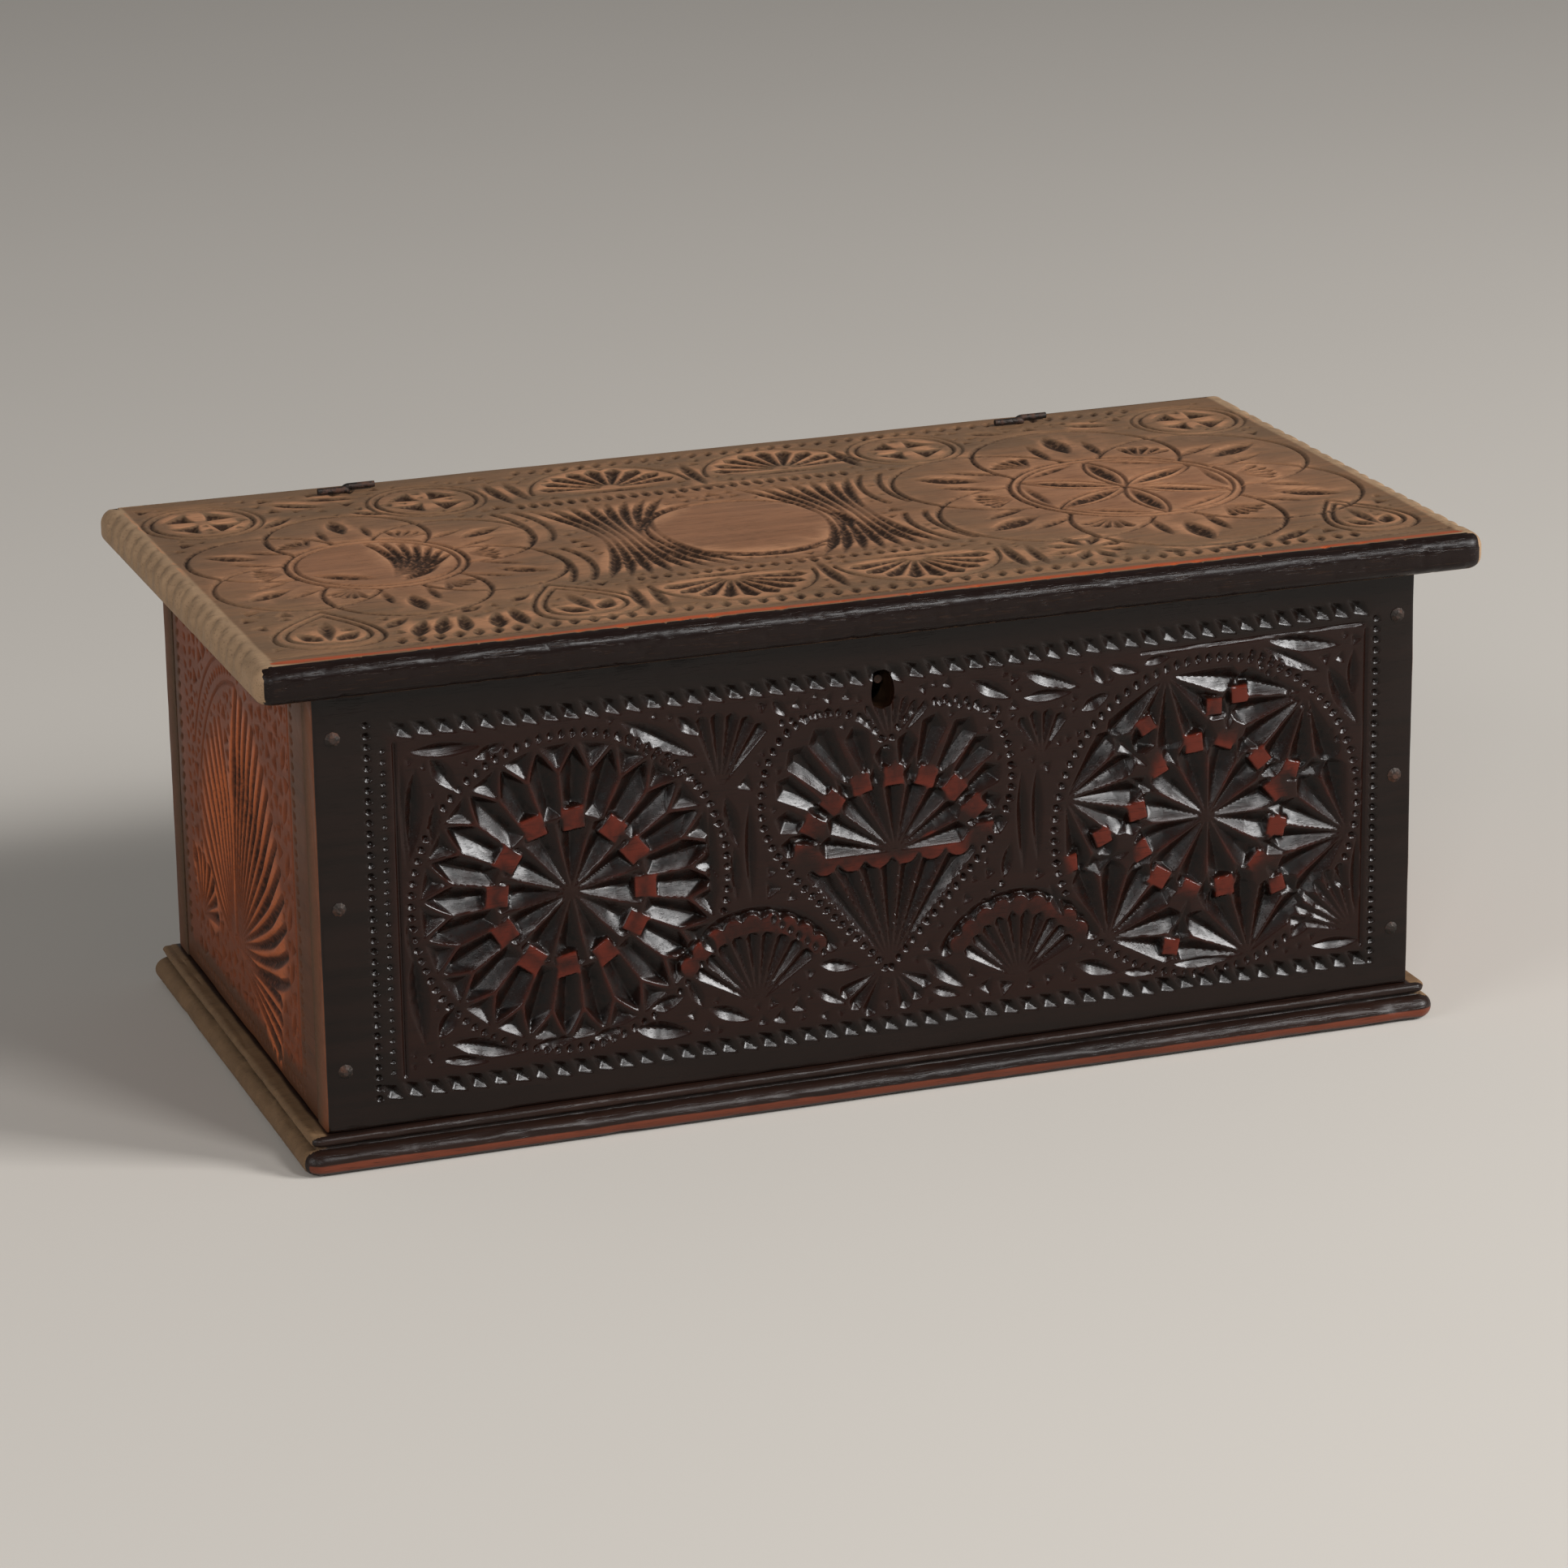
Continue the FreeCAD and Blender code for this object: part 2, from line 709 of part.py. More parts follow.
def staple_nails():
    """Two short nails up through the staple's plate into the lid."""
    nails = []
    for side in (-1, 1):
        place = V(staple_offset + side * staple_nail_spread / 2, staple_middle, staple_plate_bottom)
        nails.append(lock_nail(place, UP))
    return nails


def lid_staple(nails):
    """Plate under the lid with a loop that hangs into the lock."""
    half_depth = staple_plate_depth / 2
    half_length = staple_plate_length / 2
    near = staple_offset - staple_width / 2
    far = staple_offset + staple_width / 2
    eye_bottom = bolt_bottom - staple_eye_clearance
    plate = block(V(staple_offset - half_length, staple_middle - half_depth, staple_plate_bottom),
                  V(staple_offset + half_length, staple_middle + half_depth, case_top))
    loop = block(V(near, staple_front, eye_bottom - staple_bar), V(far, staple_back, staple_plate_bottom))
    eye = block(V(near - overrun, staple_front + staple_leg, eye_bottom),
                V(far + overrun, staple_back - staple_leg, staple_plate_bottom))
    return plate.fuse(loop.cut(eye)).removeSplitter().cut(nails)


def save(name, *shapes):
    """Write one node: a single piece, or a group of like pieces."""
    shape = shapes[0] if len(shapes) == 1 else Part.makeCompound(shapes)
    shape.exportStep("parts/" + name + ".step")


os.makedirs("parts", exist_ok=True)
front_nails = corner_nails(case_front, BACK)
back_nails = corner_nails(case_back, -BACK)
floor_nails = [board_nail(place, UP) for place in bottom_nail_places()]
plate_nails = lock_nails()
loop_nails = staple_nails()
rivets = cap_rivets()
pin = key_pin()

save("front_board", front_board(front_nails + floor_nails + plate_nails))
save("back_board", back_board(back_nails + floor_nails))
save("left_end_board", end_board(-1, front_nails + back_nails + floor_nails))
save("right_end_board", end_board(1, front_nails + back_nails + floor_nails))
save("bottom_board", bottom_board(floor_nails))
save("lid_board", lid_board(loop_nails))
save("front_corner_nails", *front_nails)
save("back_corner_nails", *back_nails)
save("bottom_nails", *floor_nails)
for side, hand in ((-1, "left"), (1, "right")):
    save(hand + "_case_snipe", case_snipe(side))
    save(hand + "_lid_snipe", lid_snipe(side))
save("lock_plate", lock_plate(plate_nails, rivets))
save("lock_nails", *plate_nails)
save("lock_cap", lock_cap(pin, rivets))
save("cap_rivets", *rivets)
save("key_pin", pin)
save("lock_bolt", lock_bolt())
save("bolt_guides", *bolt_guides())
save("bolt_spring", bolt_spring())
save("lid_staple", lid_staple(loop_nails))
save("staple_nails", *loop_nails)
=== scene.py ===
"""Looks of the boarded box: chip-carved boards, old wax finishes, forged iron and a plain studio."""

import math

import bpy
import numpy as np
from mathutils import Matrix, Vector


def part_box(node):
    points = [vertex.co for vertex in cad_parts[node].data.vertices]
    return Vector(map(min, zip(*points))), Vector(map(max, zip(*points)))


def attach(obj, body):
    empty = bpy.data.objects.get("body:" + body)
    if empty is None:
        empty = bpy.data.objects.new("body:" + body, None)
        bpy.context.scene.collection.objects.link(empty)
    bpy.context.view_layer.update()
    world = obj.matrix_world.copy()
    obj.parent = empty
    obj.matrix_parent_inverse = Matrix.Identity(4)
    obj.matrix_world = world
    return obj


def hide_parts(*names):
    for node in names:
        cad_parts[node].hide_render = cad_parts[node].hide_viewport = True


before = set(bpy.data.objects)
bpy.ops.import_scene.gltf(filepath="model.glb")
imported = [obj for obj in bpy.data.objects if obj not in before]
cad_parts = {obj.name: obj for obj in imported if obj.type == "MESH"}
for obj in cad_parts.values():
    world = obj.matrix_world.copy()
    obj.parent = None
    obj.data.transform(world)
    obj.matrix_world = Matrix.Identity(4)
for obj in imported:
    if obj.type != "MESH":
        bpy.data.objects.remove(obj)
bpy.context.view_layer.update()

MM = 0.001
SEED = 41
CARVING_STEP = 0.5
WALL = 0.8
RIM = 7.0
LID_TOP_ROUND = 5.5
LID_UNDER_ROUND = 4.5
LID_DARK_EDGE = 4.6
KEYHOLE_PLACE = (0.0, 153.0)
KEYHOLE_WIDTH = 9.6
KEYHOLE_HEIGHT = 14.6
FRONT_PANEL = ((-186, 12), (194, 146))
END_PANEL = ((-76, 8), (94, 154))
NO_PANEL = ((0, 0), (0, 0))
NAIL_COLUMN = 202.0
NAIL_SHARES = (0.14, 0.51, 0.89)


def box_mm(node):
    """Lowest and highest corner of a CAD node, in millimetres."""
    low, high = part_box(node)
    return np.array(low) / MM, np.array(high) / MM


# Places taken from the solids
FRONT_LOW, FRONT_HIGH = box_mm("front_board")
BACK_LOW, BACK_HIGH = box_mm("back_board")
LEFT_LOW, LEFT_HIGH = box_mm("left_end_board")
RIGHT_LOW, RIGHT_HIGH = box_mm("right_end_board")
LID_LOW, LID_HIGH = box_mm("lid_board")
BOTTOM_LOW, BOTTOM_HIGH = box_mm("bottom_board")
FRONT_FACE = FRONT_LOW[1]
BACK_FACE = BACK_HIGH[1]
CASE_BOTTOM = FRONT_LOW[2]
CASE_HEIGHT = FRONT_HIGH[2] - FRONT_LOW[2]
BOARD = FRONT_HIGH[1] - FRONT_LOW[1]


# Carving

def polar(centre, radius, degrees):
    """The point at a radius and an angle, anticlockwise from the right, round a centre."""
    angle = math.radians(degrees)
    return (centre[0] + radius * math.cos(angle), centre[1] + radius * math.sin(angle))


def bezier(start, pull, push, end, count=40):
    """Points along a curve that leaves start towards pull and comes to end from push."""
    t = np.linspace(0.0, 1.0, count)[:, None]
    corners = [np.array(point, float) for point in (start, pull, push, end)]
    curve = corners[0] * (1 - t) ** 3 + corners[1] * 3 * t * (1 - t) ** 2
    return curve + corners[2] * 3 * t ** 2 * (1 - t) + corners[3] * t ** 3


def circle(centre, radius, start=0.0, sweep=360.0, count=120):
    """Points along an arc round a centre."""
    return np.array([polar(centre, radius, start + sweep * i / count) for i in range(count + 1)])


def spread(path, pitch):
    """Points a pitch apart along a path, with the direction of the path at each, in degrees."""
    path = np.asarray(path, float)
    steps = np.diff(path, axis=0)
    run = np.concatenate(([0.0], np.cumsum(np.hypot(steps[:, 0], steps[:, 1]))))
    count = max(1, round(run[-1] / pitch))
    places = (np.arange(count) + 0.5) * run[-1] / count
    u = np.interp(places, run, path[:, 0])
    v = np.interp(places, run, path[:, 1])
    leg = np.clip(np.searchsorted(run, places) - 1, 0, len(steps) - 1)
    heading = np.degrees(np.arctan2(steps[leg, 1], steps[leg, 0]))
    return list(zip(u, v, heading))


def oval_arc(centre, wide, high, start, end, count):
    """Points spread over part of an oval."""
    turns = np.radians(np.linspace(start, end, count))
    return [(centre[0] + wide * math.cos(turn), centre[1] + high * math.sin(turn)) for turn in turns]


def smoothed(field, reach):
    """A field blurred by a bell curve whose reach is in cells, with its borders mirrored."""
    margin = int(4 * reach) + 2
    padded = np.pad(field, margin, mode="reflect")
    rows = np.fft.fftfreq(padded.shape[0])[:, None]
    columns = np.fft.rfftfreq(padded.shape[1])[None, :]
    bell = np.exp(-2 * (math.pi * reach) ** 2 * (rows ** 2 + columns ** 2))
    blurred = np.fft.irfft2(np.fft.rfft2(padded) * bell, padded.shape)
    return blurred[margin:-margin, margin:-margin]


class Carving:
    """How deep the cuts go, in millimetres, over one face of a board measured in u and v."""

    def __init__(self, low, high, seed, step=CARVING_STEP):
        self.u = np.linspace(low[0], high[0], round((high[0] - low[0]) / step) + 1)
        self.v = np.linspace(low[1], high[1], round((high[1] - low[1]) / step) + 1)
        self.depth = np.zeros((len(self.v), len(self.u)))
        self.kept = np.zeros(self.depth.shape, bool)
        self.chance = np.random.default_rng(SEED + seed)

    def window(self, points, margin):
        """The part of the grid round some points, and its u and v."""
        points = np.asarray(points, float)
        low = points.min(axis=0) - margin
        high = points.max(axis=0) + margin
        columns = slice(*np.searchsorted(self.u, (low[0], high[0])))
        rows = slice(*np.searchsorted(self.v, (low[1], high[1])))
        u, v = np.meshgrid(self.u[columns], self.v[rows])
        return (rows, columns), u, v

    def cut(self, place, depth):
        """Takes a place down to a depth where it isn't deeper already."""
        self.depth[place] = np.maximum(self.depth[place], depth)

    def waver(self, amount):
        """A small seeded error of the hand."""
        return self.chance.normal(0.0, amount)

    def leaf(self, start, end, width, depth, peak=0.5, straight=False):
        """A V cut with pointed ends, as a lens, or as a kite where straight."""
        place, u, v = self.window((start, end), width)
        run = np.array(end, float) - np.array(start, float)
        length = math.hypot(*run)
        run /= length
        along = ((u - start[0]) * run[0] + (v - start[1]) * run[1]) / length
        across = (v - start[1]) * run[0] - (u - start[0]) * run[1]
        rise = np.where(along < peak, along / peak, (1 - along) / (1 - peak))
        rise = np.clip(rise, 0.0, 1.0)
        if not straight:
            rise = np.sin(rise * math.pi / 2)
        half = rise * width / 2
        section = np.clip((half - np.abs(across)) / np.maximum(half, 1e-6), 0.0, 1.0)
        self.cut(place, depth * rise * section)

    def chip(self, corners, depth):
        """A pocket with sloping walls inside a convex outline given anticlockwise."""
        place, u, v = self.window(corners, 1.0)
        inside = np.full(u.shape, np.inf)
        for a, b in zip(corners, list(corners[1:]) + [corners[0]]):
            length = math.hypot(b[0] - a[0], b[1] - a[1])
            away = (b[0] - a[0]) * (v - a[1]) - (b[1] - a[1]) * (u - a[0])
            inside = np.minimum(inside, away / length)
        self.cut(place, np.clip(inside * WALL, 0.0, depth))

    def wedge(self, centre, near, far, turn, half, depth):
        """A three-sided pocket that points at a centre."""
        outer = [polar(centre, far, turn + side * half) for side in (-1, 1)]
        self.chip([polar(centre, near, turn), *outer], depth)

    def fan(self, apex, radius, start, end, count, depth, inner=0.0, scallop=0.0, point=0.0):
        """Flutes side by side that widen from an apex. Scallop rounds their ends and point sharpens them."""
        place, u, v = self.window((apex,), radius + scallop + point + 1)
        reach = np.hypot(u - apex[0], v - apex[1])
        angle = np.degrees(np.arctan2(v - apex[1], u - apex[0]))
        share = np.mod(angle - start, 360.0) / (end - start) * count
        off = np.abs(2 * (share - np.floor(share)) - 1)
        half = reach * math.radians((end - start) / count) / 2
        walls = np.minimum(half * WALL, depth) * (1 - off)
        ends = (radius + scallop * (1 - off ** 2) + point * (1 - off) - reach) * WALL
        starts = (reach - inner) * WALL
        cut = np.minimum(np.minimum(walls, ends), starts)
        self.cut(place, np.where(share < count, np.clip(cut, 0.0, None), 0.0))

    def groove(self, path, width, depth):
        """A fine V line along a path."""
        for a, b in zip(path[:-1], path[1:]):
            place, u, v = self.window((a, b), width)
            run = np.array(b, float) - np.array(a, float)
            length = max(math.hypot(*run), 1e-6)
            along = np.clip(((u - a[0]) * run[0] + (v - a[1]) * run[1]) / length ** 2, 0.0, 1.0)
            away = np.hypot(u - a[0] - along * run[0], v - a[1] - along * run[1])
            self.cut(place, depth * np.clip(1 - 2 * away / width, 0.0, None))

    def stroke(self, path, widths, steepness):
        """A V cut along a path whose width swells and shrinks."""
        for start, end, width in zip(path[:-1], path[1:], widths):
            self.groove((start, end), width, width * steepness)

    def nicks(self, path, pitch, length, width, depth, lean, straight=True):
        """A row of small cuts along a path, each turned by lean from the path's own direction."""
        for u, v, heading in spread(path, pitch):
            turn = heading + lean + self.waver(3.0)
            start = polar((u, v), -length / 2, turn)
            end = polar((u, v), length / 2, turn)
            self.leaf(start, end, width, depth * (1 + self.waver(0.08)), straight=straight)

    def beading(self, path, pitch, width, depth):
        """A string of beads, parted by slanting nicks."""
        self.nicks(path, pitch, width, pitch * 0.8, depth, 75.0)

    def nub(self, centre, size, turn, bevel=2.6):
        """Keeps a flat square of the old face standing."""
        place, u, v = self.window((centre,), size + 3)
        c, s = math.cos(math.radians(turn)), math.sin(math.radians(turn))
        across = np.abs((u - centre[0]) * c + (v - centre[1]) * s)
        along = np.abs((v - centre[1]) * c - (u - centre[0]) * s)
        outside = np.clip(np.maximum(across, along) - size / 2, 0.0, None)
        self.depth[place] = np.minimum(self.depth[place], outside * bevel)
        self.kept[place] |= outside < 0.5

    def disc(self, centre, radius, bevel=2.6):
        """Keeps a flat round of the old face standing."""
        place, u, v = self.window((centre,), radius + 3)
        outside = np.clip(np.hypot(u - centre[0], v - centre[1]) - radius, 0.0, None)
        self.depth[place] = np.minimum(self.depth[place], outside * bevel)
        self.kept[place] |= outside < 0.5

    def fill_gaps(self, low, high, spared=(), deep=0.55):
        """Small three-sided chips where the face between two corners is plain, outside spared rounds."""
        for size, tries in ((4.2, 2500), (3.0, 4000), (2.1, 5000)):
            for spot in self.chance.uniform(low, high, (tries, 2)):
                if any(math.hypot(spot[0] - u, spot[1] - v) < radius for u, v, radius in spared):
                    continue
                place, u, v = self.window((spot,), size)
                if self.depth[place].max() > 0.05 or self.kept[place].any():
                    continue
                turn = self.chance.uniform(0, 360)
                self.chip([polar(spot, size * 1.05, turn + 120 * k) for k in range(3)], size * deep)

    def age(self, blur, unevenness, arris):
        """Softens the cuts, gives the face its hand-planed unevenness and eases its outer arrises."""
        wander = self.chance.normal(0.0, 1.0, self.depth.shape)
        planing = smoothed(wander, 14.0 / CARVING_STEP)
        planing = (planing - planing.min()) / (planing.max() - planing.min())
        self.depth = smoothed(self.depth, blur / CARVING_STEP) + planing * unevenness
        frayed = smoothed(wander, 4.0 / CARVING_STEP)
        frayed = arris * (1 + 0.5 * frayed / np.abs(frayed).max())
        edge_u = np.minimum(self.u - self.u[0], self.u[-1] - self.u)[None, :]
        edge_v = np.minimum(self.v - self.v[0], self.v[-1] - self.v)[:, None]
        for edge in (edge_u, edge_v):
            short = np.clip(1 - edge / frayed, 0.0, 1.0)
            self.depth += frayed * (1 - np.sqrt(1 - short ** 2))
        self.depth = np.clip(self.depth, 0.0, None)

    def worn(self, rise=1.2, ridges=0.3):
        """How far each point stands above its neighbourhood, from 0 to 1, where hands rub the finish off.

        Rise is the height that is rubbed most, and ridges the share of it that sharp ridges get.
        """
        proud = smoothed(self.depth, 3.0 / CARVING_STEP) - self.depth
        standing = smoothed(self.kept.astype(float), 0.6 / CARVING_STEP)
        return np.clip(proud / rise, 0.0, 1.0) * (ridges + (1 - ridges) * standing)

    def read(self, field, u, v):
        """A field's values at some places."""
        x = np.clip((u - self.u[0]) / (self.u[1] - self.u[0]), 0, len(self.u) - 1.001)
        y = np.clip((v - self.v[0]) / (self.v[1] - self.v[0]), 0, len(self.v) - 1.001)
        column, row = x.astype(int), y.astype(int)
        x, y = x - column, y - row
        below = field[row, column] * (1 - x) + field[row, column + 1] * x
        above = field[row + 1, column] * (1 - x) + field[row + 1, column + 1] * x
        return below * (1 - y) + above * y


def carve_left_rosette(face, centre):
    """Twelve flutes that end at square nubs, then a ring of rays inside a beaded ring."""
    face.fan(centre, 26, 12, 372, 12, 3.6, inner=0.5, point=5)
    face.fan(centre, 43, 4.5, 364.5, 24, 3.6, inner=28, point=11)
    for k in range(24):
        turn = 4.5 + 15 * k
        face.wedge(centre, 45, 55.5, turn, 6.6, 2.4)
    for k in range(12):
        turn = 27 + 30 * k + face.waver(2.0)
        face.nub(polar(centre, 27.5 + face.waver(0.6), turn), 7.8 + face.waver(0.3), turn + face.waver(12))
    face.beading(circle(centre, 58.5), 4.2, 5.0, 1.7)


def carve_right_rosette(face, centre):
    """Twelve flutes inside a ring of nubs, with six fans that open inwards from the beaded ring."""
    face.fan(centre, 26, 0, 360, 12, 3.6, inner=0.5, point=5)
    for k in range(6):
        turn = 77 + 60 * k
        face.leaf(polar(centre, 31, turn), polar(centre, 57, turn), 11, 3.2, 0.55, True)
    for k in range(6):
        turn = 47 + 60 * k
        face.fan(polar(centre, 58, turn), 26, turn + 104, turn + 256, 6, 3.6, inner=0.5, point=6)
    for k in range(12):
        face.leaf(polar(centre, 22, 30 * k), polar(centre, 38, 30 * k), 7.6, 2.8, 0.5, True)
    for k in range(12):
        turn = 15 + 30 * k + face.waver(2.0)
        face.nub(polar(centre, 29 + face.waver(0.6), turn), 7.2 + face.waver(0.3), turn + face.waver(12))
    loose_nubs = (
        (129, 117.5), (102, 113.5), (85, 73), (72, 64.5),
        (112.5, 27), (160, 90), (155, 46), (139, 121),
    )
    for place in loose_nubs:
        face.nub(place, 6.2, face.waver(14))
    face.beading(circle(centre, 60.5), 4.2, 5.0, 1.7)


def heart_half(side):
    """One half of the heart's outline, from the notch round the lobe to the point."""
    middle = 1.5
    lobe = bezier((0, 115), (side * 4, 139), (side * 48, 143), (side * 48, 100))
    flank = bezier((side * 48, 100), (side * 48, 78), (side * 18, 56), (0, 32.5))
    half = np.concatenate((lobe, flank[1:]))
    half[:, 0] += middle
    return half


def reach_to(path, start, degrees):
    """How far a ray runs from a start before it meets a path."""
    direction = np.array(polar((0, 0), 1, degrees))
    offset = np.asarray(path) - np.array(start)
    along = offset @ direction
    across = np.abs(offset @ np.array((-direction[1], direction[0])))
    ahead = np.where(along > 0, across, np.inf)
    return along[np.argmin(ahead)]


def carve_heart(face):
    """A beaded heart with a half rosette above a scalloped line and long flutes below it."""
    left, right = heart_half(-1), heart_half(1)
    outline = np.concatenate((left, right))
    # Long flutes below the scalloped line, with nicks along their ridges
    point = (2, 35)
    step = 11.6
    for k in range(7):
        turn = 90 - step * (k - 3)
        rise = 76 + 0.4 * (k - 3) - point[1]
        right_top = polar(point, rise / math.cos(math.radians(turn - step / 2 - 90)), turn - step / 2)
        left_top = polar(point, rise / math.cos(math.radians(turn + step / 2 - 90)), turn + step / 2)
        face.chip([point, right_top, left_top], 3.0)
    for k in range(8):
        turn = 90 - step * (k - 3.5)
        rise = (70 - point[1]) / math.sin(math.radians(turn))
        face.nicks([polar(point, 12, turn), polar(point, rise, turn)], 3.0, 2.2, 1.7, 1.1, 70)
    for k in range(8):
        face.disc((-33 + 10.3 * k, 76.5 + 0.3 * k), 5.0)
    hub = (4, 78)
    face.fan(hub, 26, 0, 180, 9, 3.4, inner=1, point=4)
    # Petals between the nubs and the lobes
    step = 12.5
    for k in range(14):
        turn = 8.5 + step * k + face.waver(0.6)
        near = 33 + 4 * abs(math.cos(math.radians(turn)))
        far = max(reach_to(outline, hub, turn) - 4.5, near + 8)
        half = step * 0.49
        outer = [polar(hub, far - 4, turn - half), polar(hub, far, turn), polar(hub, far - 4, turn + half)]
        face.chip([polar(hub, near - 3, turn + 4), polar(hub, near - 3, turn - 4), *outer], 3.2)
    for k in range(17):
        turn = math.radians(6 + 10.5 * k)
        out = np.array((35 * math.cos(turn), 28.5 * math.sin(turn)))
        if k % 2:
            face.leaf(tuple(hub + out * 0.76), tuple(hub + out * 1.26), 7.0, 2.6, 0.5, True)
    for k in range(9):
        turn = math.radians(6 + 21 * k)
        place = (hub[0] + 35 * math.cos(turn), hub[1] + 28.5 * math.sin(turn))
        face.nub(place, 7.4, math.degrees(turn) + face.waver(10))
    for half in (left, right):
        face.beading(half, 4.2, 4.8, 1.9)


def carve_shell(face, apex, radius, start, end, count):
    """A scallop shell: flutes that open from an apex to a smooth lobed rim."""
    face.fan(apex, radius, start, end, count, 2.8, inner=3, point=4)
    face.groove(circle(apex, radius + 9, start, end - start, 40), 6.4, 2.2)
    for u, v, _ in spread(circle(apex, radius + 5.5, start, end - start, 40), 7.0):
        face.disc((u, v), 3.6)


def carve_front(face):
    """The front: two rosettes either side of a heart, shells and leaves between, rope and nick borders."""
    carve_left_rosette(face, (-117.75, 78.25))
    carve_right_rosette(face, (126.5, 76))
    carve_heart(face)
    carve_shell(face, (-49, 27), 25, 34, 152, 9)
    carve_shell(face, (52, 23), 23, 26, 152, 10)
    # Fans in the gaps along the top and round the heart's point
    face.fan((3, 117), 17, 42, 138, 8, 2.0, inner=1, point=3)
    face.fan((-62, 109), 27, 47, 110, 5, 2.6, inner=2, point=2)
    face.fan((61, 107), 16, 52, 128, 4, 2.4, inner=1, point=2)
    face.fan((-1, 34), 17, 196, 262, 3, 2.2, inner=1, point=2)
    face.fan((3, 33), 15, 278, 346, 3, 2.2, inner=1, point=2)
    face.fan((186, 24), 26, 96, 170, 6, 2.0, inner=3, point=2)
    # Leaves that fill the corners of the panel and the gaps beside the heart
    leaves = (
        (-173, 131, -176, 97, 8.0), (-178.5, 136, -177, 92, 4.0), (-176, 136.5, -148, 136, 5.5),
        (-168, 134, -158, 120, 7.0), (-152, 131, -140, 136, 5.5), (-166, 118, -168, 100, 5.0),
        (-176, 64, -172.5, 27, 8.0), (-178, 78, -176, 58, 3.5), (-164, 28, -137, 21, 7.5),
        (-168, 22, -148, 19.5, 4.5), (-168, 30, -160, 42, 6.5), (-134, 22, -116, 24, 5.0),
        (-112, 22, -98, 25, 5.0), (-96, 24, -73, 19.5, 7.5), (-90, 30, -76, 34, 6.0),
        (-99, 139, -69, 122, 8.0), (-78, 138, -68, 130, 6.0), (-66, 104, -65, 62, 5.0),
        (-60, 107, -55, 86, 6.0), (-57, 88, -56, 66, 5.0), (-51, 104, -50.5, 64, 5.0),
        (-70, 56, -64, 48, 5.0), (-68, 28, -50, 21, 6.0), (-75, 40, -69, 28, 5.0),
        (-26, 39, -9, 36, 5.5), (-28, 30, -14, 22, 5.0), (15, 36, 32, 22, 7.0),
        (17, 24, 30, 19.5, 4.5), (53, 139.5, 77, 131, 6.5), (53, 129.5, 74, 130, 5.0),
        (33, 138.5, 50, 130, 6.0), (80, 139, 86, 131, 5.0), (76, 122, 88, 128, 5.5),
        (-42, 140, -36, 133, 4.5), (86, 138, 100, 134, 4.5), (53, 104, 54, 62, 5.0),
        (59, 104, 59.5, 66, 5.0), (46, 62, 49, 76, 4.5), (64, 58, 70, 44, 5.0),
        (149, 140.5, 180, 135.5, 7.0), (148, 138, 172, 126, 6.0), (174, 128, 187, 104, 8.0),
        (184.5, 134, 184, 112, 5.0), (168, 20, 190, 20, 5.0), (187, 30, 187, 62, 5.0),
        (74, 26, 92, 20, 6.5), (92, 20, 108, 18, 4.0), (160, 24, 172, 34, 5.0),
        (176, 46, 186, 40, 5.0), (112, 20, 138, 20, 5.5), (100, 137, 112, 139, 4.0),
    )
    for *ends, width in leaves:
        face.leaf(ends[:2], ends[2:], width, width * 0.38, 0.45)
    for line in (
        [(-100, 134), (-69, 112)], [(-96, 136), (-74, 124)], [(146, 132), (180, 98)],
        [(142, 137), (166, 128)], [(-40, 131), (-18, 133)], [(20, 132.5), (46, 126)],
        [(-47, 62), (-22, 42)], [(47, 62), (34, 50)],
    ):
        face.nicks(line, 4.0, 4.6, 3.0, 1.5, -58)
    # Rope borders, nick columns and lines
    face.nicks([(-181, 145), (0, 144.8), (190, 149)], 7.6, 12.5, 6.0, 2.3, -40)
    face.nicks([(-189, 12.8), (192, 12.8)], 7.8, 12.5, 6.0, 2.3, -36)
    face.groove([(100, 141), (188, 142.6)], 1.6, 1.0)
    face.nicks([(-190, 9), (-190, 150)], 3.9, 4.6, 3.0, 1.7, 66)
    face.nicks([(-184.5, 18), (-184.5, 140)], 3.9, 3.8, 2.4, 1.2, -66)
    face.groove([(-180.2, 18), (-180.2, 140)], 2.0, 1.3)
    face.nicks([(193.5, 9), (193.5, 146)], 4.0, 4.8, 3.0, 1.7, 66)
    face.groove([(189.5, 18), (189.5, 140)], 1.6, 1.0)
    face.fill_gaps((-179, 19), (189, 140))


def carve_overlapping_circles(face, centre, radius, ring, reach, depth):
    """A double circle with six others that run behind it, a dark leaf in each and flutes where two meet."""
    face.groove(circle(centre, radius), 2.2, 1.3)
    face.groove(circle(centre, radius - 3.4), 1.8, 1.1)
    hidden = math.degrees(math.acos((reach ** 2 + ring ** 2 - radius ** 2) / (2 * reach * ring)))
    for k in range(6):
        turn = 30 + 60 * k
        middle = polar(centre, reach, turn)
        face.groove(circle(middle, ring, turn + 180 + hidden, 360 - 2 * hidden, 90), 2.2, 1.3)
        near = polar(centre, reach + 0.1 * ring, turn)
        far = polar(centre, reach + 0.86 * ring, turn)
        face.leaf(near, far, 0.26 * ring, depth, 0.5)
        # The overlap with the next circle
        between = turn + 30
        apex = polar(centre, radius + 1, between)
        face.fan(apex, 0.36 * ring, between - 46, between + 46, 5, depth * 0.8, inner=1, point=2)
        for side in (-1, 1):
            start = polar(centre, radius + 3, between + side * 17)
            end = polar(centre, radius + 0.75 * ring, between + side * 21)
            face.leaf(start, end, 0.13 * ring, depth * 0.7)


